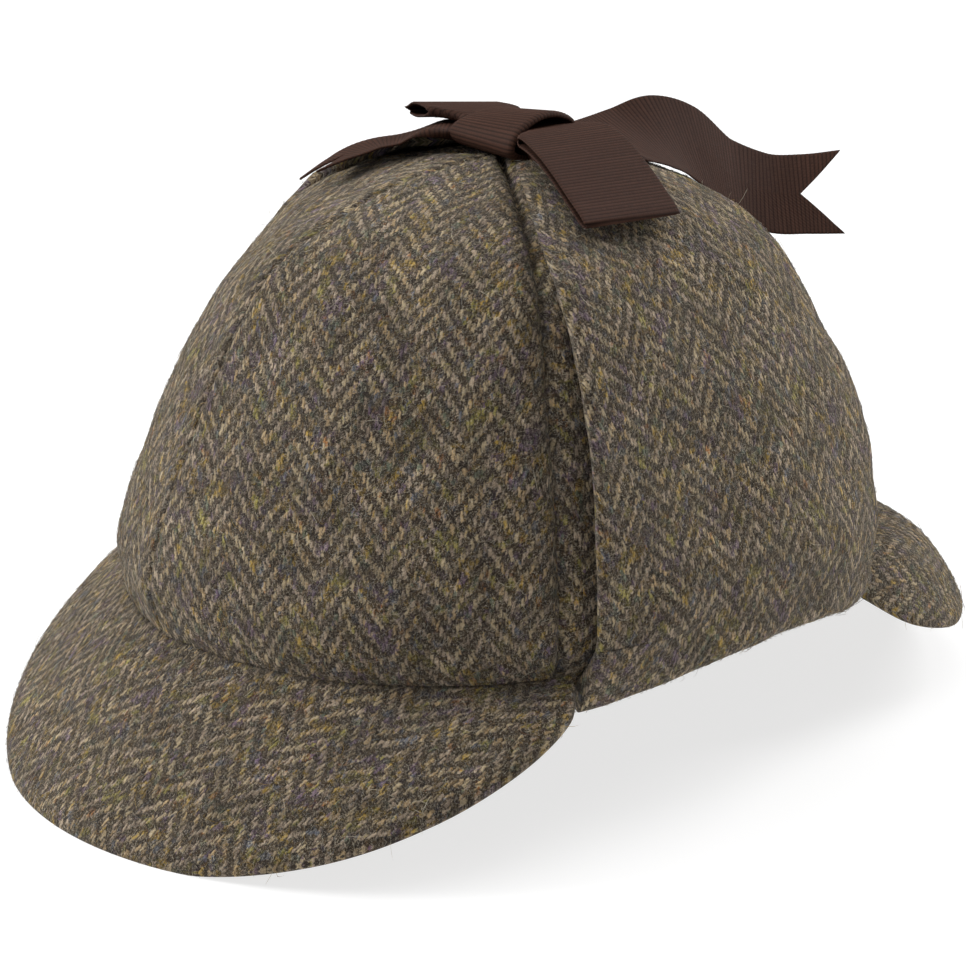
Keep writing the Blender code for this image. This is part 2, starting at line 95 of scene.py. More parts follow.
# angle, how far the rim reaches out from the crown, height of the rim above the floor
BACK_PEAK = (
    (127, 3.6, 36.0), (134, 15.0, 25.5), (144, 25.5, 18.5), (155, 31.8, 15.5), (167, 35.2, 7.5),
    (180, 37.2, 0.4),
    (193, 36.0, 0.0), (205, 32.5, 6.0), (216, 26.0, 16.0), (226, 15.0, 25.0), (233, 3.6, 36.0),
)
PEAK_EDGE = 1.8  # how far above the rim's height the top face ends before it is rounded
FRONT_BULGE = 2.0
BACK_BULGE = 8.0
BULGE_SKEW = 1.2  # above 1, the bulge is highest past the middle, towards the rim
FULL_BULGE_REACH = 20.0  # where the peak reaches out less than this, it bulges less
# how many degrees a piece's cloth is turned, then how far along the columns it starts, mm
PANEL_GRAINS = ((6, -8.0), (-12, -6.5), (-4, 2.0), (4, 5.0), (-6, 1.0), (10, -2.0))
FRONT_GRAIN = (14, 3.5)
BACK_GRAIN = (-10, -5.5)
FLAP_GRAIN = (2, -0.5)

# An ear flap's rows are measured by how steeply they are seen from a line inside the crown
FLAP_HINGE_Z = 40.0  # height of that line
FLAP_CLEARANCE = 0.9  # between the flap and the crown
CLOTH_PER_DEGREE = 1.8  # length of flap for each degree
FLAP_GRAIN_Y = 6.0  # the line along which the flap's cloth was cut straight
LIFT_SHARE = 0.35  # share of the width over which the front edge lifts off
LIFT_POWER = 1.5
RIGHT_FLAP_BACK = 9.0  # how far further back its tip is tied
RIGHT_FLAP_LIFT = 0.3  # share of the left flap's lift at its front edge
# rise, front edge, rear edge, how far the front edge stands off, thickness
EAR_FLAP = (
    (7, -40.0, 55.5, 3.0, 4.1), (16, -39.0, 58.5, 4.6, 4.1), (27, -36.6, 60.0, 5.0, 4.1),
    (38, -33.8, 60.0, 4.6, 4.1), (48, -31.0, 58.0, 3.8, 4.0), (57, -28.2, 55.0, 2.8, 3.7),
    (65, -24.0, 49.0, 1.6, 3.3), (72, -18.5, 39.0, 0.7, 2.8), (78, -12.5, 28.0, 0.1, 2.4),
    (82, -8.0, 20.0, 0.0, 2.2),
)
# the turned edge under the crown: out and up from its cut edge, on the inner and outer face
FLAP_FOLD = (
    (-2.0, -0.4, -2.0, -3.4), (-0.4, -0.4, 1.0, -5.2), (0.9, -0.4, 4.2, -4.6),
    (1.6, 1.6, 6.4, -1.4),
)

# Ribbon: a point on the middle line, the lean in degrees, the width as a share of the whole
KNOT = (
    (0.6, 10.6, 146.1, 0, 0.90), (0.6, 1.0, 146.1, 0, 0.90), (0.6, -5.4, 147.0, 0, 0.90),
    (0.6, -7.9, 149.6, 0, 0.90), (0.6, -6.0, 152.8, 3, 0.90), (0.6, -0.5, 155.0, 7, 0.90),
    (0.6, 5.5, 155.6, 8, 0.90), (0.6, 11.2, 154.0, 6, 0.90), (0.6, 13.4, 151.2, 3, 0.90),
    (0.6, 12.8, 149.6, 0, 0.90),
)
TIE = (
    (2.0, 3.4, 147.4, 0, 0.40), (7.0, 3.4, 147.5, 0, 0.42), (12.0, 3.5, 147.9, 0, 0.46),
    (16.5, 3.8, 148.2, 0, 0.66), (20.5, 4.0, 147.9, 0, 0.70),
)
LOOP_LEFT = (
    (3.0, 3.4, 152.8, 0, 0.42), (9.0, 3.4, 153.1, 0, 0.44), (13.2, 3.3, 153.7, 0, 0.52),
    (17.6, 3.1, 154.3, 0, 0.90), (22.5, 2.6, 153.7, 0, 1.0), (29.5, 1.5, 151.6, 0, 1.0),
    (37.0, 0.2, 148.2, 0, 1.0), (44.5, -1.2, 144.2, 0, 1.0), (50.0, -2.2, 141.2, 0, 1.0),
    (51.6, -2.5, 139.6, 0, 1.0), (49.6, -2.2, 139.4, 0, 1.0), (44.0, -1.2, 142.6, 0, 1.0),
    (36.6, 0.2, 146.6, 0, 1.0), (29.0, 1.6, 149.9, 0, 1.0), (22.5, 2.6, 151.6, 0, 1.0),
    (17.6, 3.1, 152.1, 0, 0.90), (13.2, 3.3, 151.9, 0, 0.56), (9.0, 3.4, 151.2, 0, 0.45),
    (3.0, 3.4, 150.6, 0, 0.42),
)
LOOP_RIGHT = (
    (-0.6, 3.4, 151.6, 0, 0.42), (-6.5, 3.4, 151.6, 0, 0.42), (-11.5, 3.8, 151.8, 0, 0.42),
    (-14.8, 4.8, 152.2, 2, 0.52), (-18.4, 6.0, 152.4, 5, 0.88), (-22.2, 7.0, 152.3, 6, 1.0),
    (-26.0, 7.6, 152.1, 7, 1.0), (-29.4, 8.0, 151.6, 7, 1.0), (-31.6, 8.2, 150.2, 7, 1.0),
    (-30.6, 8.2, 148.9, 7, 1.0), (-27.0, 7.9, 148.9, 6, 1.0), (-22.6, 7.1, 149.9, 5, 1.0),
    (-18.4, 6.0, 150.7, 4, 0.88), (-14.8, 4.8, 150.9, 2, 0.52), (-11.5, 3.8, 150.5, 0, 0.42),
    (-6.5, 3.4, 150.1, 0, 0.42), (-0.6, 3.4, 150.1, 0, 0.42),
)
TAIL_FRONT = (
    (-0.6, 3.2, 148.75, 0, 0.40), (-6.5, 3.0, 148.8, 0, 0.40), (-11.5, 2.0, 149.1, 0, 0.42),
    (-16.2, -0.4, 149.4, 1, 0.56), (-21.0, -5.2, 149.1, 8, 0.86), (-26.4, -10.8, 145.8, 8, 1.0),
    (-31.0, -17.0, 144.3, 9, 1.0), (-34.8, -24.6, 141.2, 13, 1.0), (-38.3, -31.7, 137.2, 18, 1.0),
)
TAIL_BACK = (
    (0.6, 11.3, 148.4, 0, 0.44), (0.5, 15.6, 148.9, 2, 0.46), (0.5, 20.0, 148.6, 5, 0.50),
    (1.0, 26.5, 146.5, 8, 0.72), (0.0, 35.5, 143.4, 14, 0.95), (-1.5, 46.5, 141.9, 26, 1.0),
    (-2.0, 57.0, 140.7, 44, 1.0), (0.0, 66.5, 135.9, 50, 1.0), (4.0, 74.0, 127.9, 40, 1.0),
    (9.5, 81.0, 124.3, 38, 1.0), (15.0, 88.5, 124.0, 38, 1.0), (21.0, 96.0, 124.6, 42, 1.0),
)

# The camera's place in metres, the directions to its right and out of its back, its lens in mm
CAMERA_PLACE = (0.7218, -0.5844, 0.3724)
CAMERA_RIGHT = (0.6255, 0.7802, 0.0)
CAMERA_BACK = (0.7393, -0.5927, 0.3197)
CAMERA_LENS = 143.55
CAMERA_SENSOR = 36.0


# ---- what a user would change


class CrownSettings(bpy.types.PropertyGroup):
    cloth: bpy.props.FloatProperty(
        name="Cloth", description="Thickness of the crown's tweed", default=0.0021, unit="LENGTH")
    groove: bpy.props.FloatProperty(
        name="Seam groove", description="How deep the cloth dips at a panel seam",
        default=0.0013, unit="LENGTH")
    valley: bpy.props.FloatProperty(
        name="Valley", description="How far the cloth turns in towards its deepest seam",
        default=0.0018, unit="LENGTH")
    allowance: bpy.props.FloatProperty(
        name="Seam allowance", description="Width of the turned cloth under each side of a seam",
        default=0.0065, unit="LENGTH")
    allowance_rise: bpy.props.FloatProperty(
        name="Allowance rise", description="How far the turned cloth lifts the panel over it",
        default=0.0005, unit="LENGTH")
    wobble: bpy.props.FloatProperty(
        name="Softness", description="How far the cloth wanders from an even shape",
        default=0.0006, unit="LENGTH")


class PeakSettings(bpy.types.PropertyGroup):
    thickness: bpy.props.FloatProperty(
        name="Thickness", description="Thickness of a stiffened peak", default=0.0042, unit="LENGTH")
    wobble: bpy.props.FloatProperty(
        name="Softness", description="How far a peak wanders from an even shape",
        default=0.0005, unit="LENGTH")


class TweedSettings(bpy.types.PropertyGroup):
    end_pitch: bpy.props.FloatProperty(
        name="Warp pitch", description="Spacing of the warp yarns",
        default=0.000985, precision=6, unit="LENGTH")
    pick_pitch: bpy.props.FloatProperty(
        name="Weft pitch", description="Spacing of the weft yarns",
        default=0.00133, precision=5, unit="LENGTH")
    column_ends: bpy.props.IntProperty(
        name="Column", description="Warp yarns in one herringbone column", default=8)
    light: bpy.props.FloatVectorProperty(
        name="Light wool", description="Pale wool of the warp",
        default=(0.620, 0.500, 0.335), subtype="COLOR")
    dark: bpy.props.FloatVectorProperty(
        name="Dark wool", description="Dark wool of the weft",
        default=(0.042, 0.031, 0.022), subtype="COLOR")
    warp_shade: bpy.props.FloatVectorProperty(
        name="Shaded warp", description="Darkest wool of the warp",
        default=(0.120, 0.090, 0.065), subtype="COLOR")
    weft_shade: bpy.props.FloatVectorProperty(
        name="Lit weft", description="Palest wool of the weft",
        default=(0.165, 0.125, 0.085), subtype="COLOR")
    strand: bpy.props.FloatVectorProperty(
        name="Strand", description="Single pale fibres on the surface",
        default=(0.68, 0.60, 0.47), subtype="COLOR")
    hairs: bpy.props.IntProperty(
        name="Hairs", description="Short hairs on each piece of tweed", default=6500)
    kemps: bpy.props.IntProperty(
        name="Kemps", description="Long stray hairs on each piece of tweed", default=420)


class RibbonSettings(bpy.types.PropertyGroup):
    width: bpy.props.FloatProperty(
        name="Width", description="Width of the ribbon", default=0.026, unit="LENGTH")
    thickness: bpy.props.FloatProperty(
        name="Thickness", description="Thickness of the ribbon between its ribs",
        default=0.00045, precision=5, unit="LENGTH")
    rib_pitch: bpy.props.FloatProperty(
        name="Rib pitch", description="Spacing of the ribs", default=0.00105, precision=5, unit="LENGTH")
    rib_height: bpy.props.FloatProperty(
        name="Rib height", description="How far a rib stands out on each face",
        default=0.00013, precision=5, unit="LENGTH")
    notch: bpy.props.FloatProperty(
        name="Swallowtail", description="Depth of the cut in a free end", default=0.011, unit="LENGTH")
    colour: bpy.props.FloatVectorProperty(
        name="Ribbon", description="Colour of the ribbon", default=(0.050, 0.022, 0.014), subtype="COLOR")


class StageSettings(bpy.types.PropertyGroup):
    floor: bpy.props.FloatVectorProperty(
        name="Floor", description="Colour of the floor", default=(0.30, 0.30, 0.30), subtype="COLOR")
    glow: bpy.props.FloatProperty(
        name="Floor glow", description="Light that comes up through the white floor", default=0.74)
    sky: bpy.props.FloatProperty(
        name="Surround", description="Strength of the even light from all round", default=0.26)
    top: bpy.props.FloatProperty(
        name="Top", description="Power of the light overhead", default=12.0, unit="POWER")
    key: bpy.props.FloatProperty(
        name="Key", description="Power of the light on the wearer's right", default=34.0, unit="POWER")
    rim: bpy.props.FloatProperty(
        name="Rim", description="Power of the light behind", default=26.0, unit="POWER")


def settings(group):
    return getattr(bpy.context.scene, SETTINGS + group)


def mm(metres):
    return metres * 1000


# ---- shapes


def spline(rows, t):
    """Catmull-Rom values at t, 0 at the first row and 1 at the last."""
    rows = np.asarray(rows, float)
    held = np.vstack([2 * rows[0] - rows[1], rows, 2 * rows[-1] - rows[-2]])
    span = np.clip(np.asarray(t, float), 0, 1) * (len(rows) - 1)
    i = np.minimum(span.astype(int), len(rows) - 2)
    f = (span - i)[..., None]
    p0, p1, p2, p3 = (held[i + k] for k in range(4))
    square = 2 * p0 - 5 * p1 + 4 * p2 - p3
    cubic = 3 * p1 - p0 - 3 * p2 + p3
    return 0.5 * (2 * p1 + (p2 - p0) * f + square * f**2 + cubic * f**3)


STEPS = np.linspace(0, 1, 2401)  # close enough together to read a curve in straight steps
SEAM_CURVE = spline(CROWN_SEAM, STEPS)
PROFILE_CURVE = spline(CROWN_PROFILE, STEPS)


def seam_z(angle):
    """Height of the crown's seam to the peaks, the same on both sides."""
    turned = np.abs((angle + 180) % 360 - 180)
    return np.interp(turned, SEAM_CURVE[:, 0], SEAM_CURVE[:, 1])


def panel_swell(angle, height):
    """The crown stands out at its panel seams, less so at the bottom."""
    turned = (np.asarray(angle) - SEAM_ANGLES[0]) % 360 + SEAM_ANGLES[0]
    share = np.interp(turned, SEAM_ANGLES, np.arange(len(SEAM_ANGLES)))
    fade = np.sin(np.pi / 2 * np.clip(height / RIDGE_FADE, 0, 1))
    return 1 + PANEL_RIDGE * np.cos(2 * np.pi * share) * fade


def crown_points(angle, t):
    """Outer face of the crown, from its cut edge at t = 0 to the top at t = 1."""
    angle, t = np.broadcast_arrays(np.asarray(angle, float), np.asarray(t, float))
    height, radius = np.moveaxis(spline(CROWN_PROFILE, t), -1, 0)
    seam = seam_z(angle)
    share = radius * panel_swell(angle, height)
    x = CROWN_HALF_WIDTH * share * np.sin(np.radians(angle))
    y = CROWN_CENTRE_Y - CROWN_HALF_LENGTH * share * np.cos(np.radians(angle))
    return np.stack([x, y, seam + height * (CROWN_TOP - seam)], -1)


SLOPE_STEP = 0.4  # distance to each side over which the crown's slope is read, mm
PAST_CROWN = 130.0  # a distance from any point inside that lies outside the crown, mm
HALVINGS = 30  # tries that find where a line meets the crown


def unit(vectors):
    return vectors / np.maximum(np.linalg.norm(vectors, axis=-1, keepdims=True), 1e-9)


def crown_outward(angle):
    """Level direction straight out of the crown's oval at an angle."""
    turn = np.radians(np.asarray(angle, float))
    return unit(np.stack([np.sin(turn) / CROWN_HALF_WIDTH, -np.cos(turn) / CROWN_HALF_LENGTH, 0 * turn], -1))


def crown_level(points):
    """Below zero inside the crown's outer face, zero on it and above zero outside."""
    across = points[..., 0] / CROWN_HALF_WIDTH
    along = (CROWN_CENTRE_Y - points[..., 1]) / CROWN_HALF_LENGTH
    angle = np.degrees(np.arctan2(across, along))
    seam = seam_z(angle)
    height = (points[..., 2] - seam) / (CROWN_TOP - seam)
    radius = np.interp(height, PROFILE_CURVE[:, 0], PROFILE_CURVE[:, 1])
    oval = np.hypot(across, along)
    return np.where(height >= 1, oval + height - 1, oval - radius * panel_swell(angle, height))


def crown_normals(points):
    """Outward directions of the crown's face at points on it."""
    slopes = []
    for axis in range(3):
        offset = SLOPE_STEP * np.eye(3)[axis]
        slopes.append(crown_level(points + offset) - crown_level(points - offset))
    return unit(np.stack(slopes, -1))


def crown_along(start, direction):
    """Where lines from inside the crown meet its outer face."""
    low = np.zeros(direction.shape[:-1])
    high = np.full(direction.shape[:-1], PAST_CROWN)
    for _ in range(HALVINGS):
        middle = (low + high) / 2
        inside = crown_level(start + direction * middle[..., None]) < 0
        low = np.where(inside, middle, low)
        high = np.where(inside, high, middle)
    return start + direction * low[..., None]


def run_length(grid, axis):
    """Length run along a grid's rows or columns from its first line."""
    steps = np.linalg.norm(np.diff(grid, axis=axis), axis=-1)
    start = np.zeros_like(np.take(steps, [0], axis=axis))
    return np.concatenate([start, np.cumsum(steps, axis=axis)], axis=axis)


def laid_flat(near, far, length):
    """Where the points of a sheet's two edges, near and far, lie once the sheet is spread out flat
    without stretching, as complex numbers. length is how far each point of near is from its point
    of far, and the line between the middle ones points along the cloth."""
    flat_near, flat_far = np.zeros(len(near), complex), np.zeros(len(near), complex)
    flat_far[0] = 1j * length[0]

    def beside(a, b, from_a, from_b):
        span = abs(b - a)
        along = (from_a**2 - from_b**2 + span**2) / (2 * span)
        off = math.sqrt(max(from_a**2 - along**2, 0.0))
        return a + (b - a) / span * complex(along, -off)

    for j in range(1, len(near)):
        back_near, back_far = near[j - 1], far[j - 1]
        flat_near[j] = beside(flat_near[j - 1], flat_far[j - 1],
                              math.dist(near[j], back_near), math.dist(near[j], back_far))
        flat_far[j] = beside(flat_near[j], flat_far[j - 1], length[j], math.dist(far[j], back_far))
    middle = len(near) // 2
    origin = flat_near[middle]
    turn = 1j * length[middle] / (flat_far[middle] - origin)
    return (flat_near - origin) * turn, (flat_far - origin) * turn


def turned_grain(flat, grain):
    """Places on the cloth, for a piece cut with its grain turned by some degrees, then shifted."""
    turn, shift = grain
    u, v = flat[..., 0], flat[..., 1]
    cos, sin = math.cos(math.radians(turn)), math.sin(math.radians(turn))
    return np.stack([u * cos + v * sin + shift, v * cos - u * sin], -1)


WAVES = 9  # waves that make up a noise
WAVE_SIZES = (0.7, 1.6)  # shortest and longest of them, as shares of the noise's size


def soft_noise(points, size, seed):
    """Smooth numbers of about -1 to 1 that wander over the given size, the same at each run."""
    chance = np.random.default_rng(seed)
    total = np.zeros(points.shape[:-1])
    for _ in range(WAVES):
        heading = unit(chance.normal(size=3)) * 2 * np.pi / (size * chance.uniform(*WAVE_SIZES))
        total += np.sin(points @ heading + chance.uniform(0, 2 * np.pi))
    return total / math.sqrt(WAVES)


def soft_relief(points, layers, seed):
    """Noise in layers, given by their heights and sizes; each takes the next seed."""
    return sum(high * soft_noise(points, size, seed + k) for k, (high, size) in enumerate(layers))


def edged(count, length, offsets):
    """Numbers from 0 to 1 at even steps, with more of them near both ends."""
    near = np.array(offsets) / length
    middle = np.linspace(near[-1], 1 - near[-1], count)
    return np.concatenate([near[:-1], middle, 1 - near[-2::-1]])


LEAST_FULL = 0.004  # square of the share of the thickness that is left at the very edge


def fullness(distance, radius):
    """Share of the full thickness at a distance in from a rounded edge."""
    inward = np.clip(distance / radius, 0, 1)
    return np.sqrt(np.clip(1 - (1 - inward) ** 2, LEAST_FULL, 1))


# ---- meshes


def mesh_piece(name, vertices, faces):
    """A new object with its vertices given in millimetres."""
    mesh = bpy.data.meshes.new(name)
    mesh.from_pydata(vertices * MM, [], faces.tolist())
    mesh.update()
    mesh.shade_smooth()
    piece = bpy.data.objects.new(name, mesh)
    bpy.context.scene.collection.objects.link(piece)
    return piece


def add_uv(mesh, name, values):
    layer = mesh.uv_layers.new(name=name)
    layer.data.foreach_set("uv", np.ascontiguousarray(values, np.float32).ravel())


# Where the bake map lays out a slab: the corner and size of its outer face, then of its inner face
OUTER_LAYOUT = ((0.004, 0.005), (0.80, 0.99))
INNER_LAYOUT = ((0.812, 0.005), (0.17, 0.99))
EDGE_STRIP = (0.9975, 0.9905)  # the strip that holds the edge, from the outer face to the inner
EDGE_RUN = (0.01, 0.98)  # where the strip starts, and its length
EDGE_STEP = 0.9  # share of a step along it that a face of the edge fills


def cloth_places(cloth, faces, border, thick):
    """Each face corner's place on the flat cloth, which runs on over the slab's edge."""
    under = len(cloth)
    flat = np.concatenate([cloth, cloth])
    ahead = np.roll(flat[border], -1, 0) - np.roll(flat[border], 1, 0)
    way_out = unit(np.stack([ahead[:, 1], -ahead[:, 0]], -1))
    way_out = way_out * np.sign(np.sum(way_out * (flat[border] - flat.mean(0))))
    beyond = flat.copy()
    beyond[under + border] += way_out * thick[:, None]
    edge = len(faces) - len(border)
    return np.concatenate([flat[faces[:edge]], beyond[faces[edge:]]])


def bake_places(across, along, faces, border):
    """Each face corner's place in the map for a bake: both faces, then the edge."""
    laid = np.stack(np.meshgrid(across, along), -1).reshape(-1, 2)
    both = [laid * size + corner for corner, size in (OUTER_LAYOUT, INNER_LAYOUT)]
    edge = len(faces) - len(border)
    first, length = EDGE_RUN
    here = first + np.arange(len(border)) / len(border) * length
    ahead = here + EDGE_STEP / len(border)
    outer, inner = (0 * here + line for line in EDGE_STRIP)
    corners = ((outer, ahead), (outer, here), (inner, here), (inner, ahead))
    strip = np.stack([np.stack(corner, -1) for corner in corners], 1)
    return np.concatenate([np.concatenate(both)[faces[:edge]], strip])


def slab(name, outer, inner, cloth, across, along):
    """A closed sheet between two grids. cloth holds each point's place on the flat cloth, in mm;
    across and along hold the shares, from 0 to 1, at which the bake map lays the grid out."""
    rows, columns = outer.shape[:2]
    under = rows * columns
    index = np.arange(under).reshape(rows, columns)
    quads = np.stack([index[:-1, :-1], index[:-1, 1:], index[1:, 1:], index[1:, :-1]], -1)
    quads = quads.reshape(-1, 4)
    border = np.concatenate([index[0], index[1:, -1], index[-1, -2::-1], index[-2:0:-1, 0]])
    following = np.roll(border, -1)
    rim = np.stack([following, border, under + border, under + following], -1)
    faces = np.concatenate([quads, under + quads[:, ::-1], rim])
    vertices = np.concatenate([outer.reshape(-1, 3), inner.reshape(-1, 3)])
    a, b, c, d = (vertices[quads[:, k]] for k in range(4))
    outward = (outer - inner).reshape(-1, 3)[quads[:, 0]]
    if np.sum(np.cross(c - a, d - b) * outward) < 0:  # the faces would look inward
        faces = faces[:, ::-1]
    piece = mesh_piece(name, vertices, faces)
    thick = np.linalg.norm(vertices[border] - vertices[under + border], axis=-1)
    flat = cloth.reshape(-1, 2)
    add_uv(piece.data, "cloth", cloth_places(flat, faces, border, thick) * MM)
    add_uv(piece.data, "OFBake", bake_places(across, along, faces, border))
    return piece


def finish_piece(piece, node, finish):
    """The piece rides with the hat, stands for its node and takes its material."""
    piece.data.materials.append(finish)
    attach(piece, BODY)
    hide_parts(node)


# ---- shader expressions


def math_node(operation):
    """A method of Shade that adds one Math node."""
    return lambda shade, *others: shade.maths(operation, *others)


class Shade:
    """A socket of a shader. An expression on values adds its Math nodes."""

    def __init__(self, surface, socket):
        self.surface = surface
        self.socket = socket

    def maths(self, operation, *others):
        return self.surface.node("ShaderNodeMath", {"operation": operation}, self, *others)

    def __rsub__(self, other):
        return self.maths("MULTIPLY_ADD", -1.0, other)

    __add__ = __radd__ = math_node("ADD")
    __sub__ = math_node("SUBTRACT")
    __mul__ = __rmul__ = math_node("MULTIPLY")
    __truediv__ = math_node("DIVIDE")
    __mod__ = math_node("FLOORED_MODULO")
    __gt__ = math_node("GREATER_THAN")
    floor = math_node("FLOOR")
    fraction = math_node("FRACT")
    sine = math_node("SINE")

    def far_from(self, value):
        return (self - value).maths("ABSOLUTE")

    def ramp(self, low, high):
        """0 at low and 1 at high, straight between them and held outside."""
        return self.surface.node("ShaderNodeMapRange", {"clamp": True}, self, low, high)


class Surface:
    """A material with one Principled shader, built from nodes."""

    def __init__(self, name, constants):
        self.material = bpy.data.materials.new(name)
        self.material.use_nodes = True
        self.tree = self.material.node_tree
        self.shader = self.tree.nodes["Principled BSDF"]
        for key, value in constants.items():
            self.shader.inputs[key].default_value = value

    def node(self, kind, choices, *values, output=0, **named):
        """The output of a new node, with its choices, then its sockets in order or by name."""
        node = self.tree.nodes.new(kind)
        for key, value in choices.items():
            setattr(node, key, value)
        sockets = list(enumerate(values)) + list(named.items())
        for key, value in sockets:
            socket = node.inputs[key.replace("_", " ").title() if isinstance(key, str) else key]
            if isinstance(value, Shade):
                self.tree.links.new(value.socket, socket)
            else:
                socket.default_value = value
        return Shade(self, node.outputs[output])

    def mix(self, share, first, second, blend="MIX"):
        """A colour, first where share is 0 and second where it is 1."""
        node = self.tree.nodes.new("ShaderNodeMix")
        node.data_type = "RGBA"
        node.blend_type = blend
        for index, value in ((0, share), (6, first), (7, second)):
            if isinstance(value, Shade):
                self.tree.links.new(value.socket, node.inputs[index])
            else:
                node.inputs[index].default_value = (*value, 1.0) if index else value
        return Shade(self, node.outputs[2])

    def feed(self, name, value):
        self.tree.links.new(value.socket, self.shader.inputs[name])


def cloth_axes(surface):
    """Places across and along the cloth, in millimetres."""
    place = surface.node("ShaderNodeUVMap", {"uv_map": "cloth"})
    u = surface.node("ShaderNodeSeparateXYZ", {}, place, output=0)
    v = surface.node("ShaderNodeSeparateXYZ", {}, place, output=1)
    return mm(u), mm(v)


def noise_at(surface, x, y, z=0.0, detail=2.0, roughness=0.5):
    """Noise of 0 to 1 at a place given as numbers or shades."""
    place = surface.node("ShaderNodeCombineXYZ", {}, x, y, z)
    return surface.node("ShaderNodeTexNoise", {}, place, scale=1.0, detail=detail, roughness=roughness)


def off_line(surface, x, y, seed, detail, reach):
    """How far a thread strays from its straight line at a place: reach from side to side."""
    return (noise_at(surface, x, y, seed, detail=detail) - 0.5) * reach


def thin_lines(surface, x, y, seed, width):
    """1 along curling lines, where a noise passes its middle, and 0 away from them."""
    return noise_at(surface, x, y, seed).far_from(0.5).ramp(*width)


# Coloured yarns: colour, seed, lowest noise that shows it
TINTS = (
    ((0.420, 0.270, 0.045), 11.3, 0.585),  # ochre
    ((0.340, 0.140, 0.040), 23.9, 0.635),  # rust
    ((0.110, 0.130, 0.170), 37.1, 0.600),  # slate
    ((0.145, 0.095, 0.150), 41.7, 0.585),  # plum
    ((0.290, 0.250, 0.060), 53.3, 0.600),  # olive
    ((0.120, 0.150, 0.105), 71.9, 0.615),  # moss
)
TINT_EDGE = 0.04  # rise of the noise from no tint to all of it
COOL_WOOL = (1.00, 0.96, 1.02)
WARM_WOOL = (1.02, 0.99, 0.90)
TAN_WOOL = (1.08, 0.95, 0.76)
PAINTED_GAP_SHADE = (0.010, 0.007, 0.006)  # painted shade deep in the gaps between the yarns
SHADED_CLOUD = (0.020, 0.016, 0.013)  # towards which large patches darken
WEFT_HEIGHT = 0.45  # how far the weft stands up beside the warp


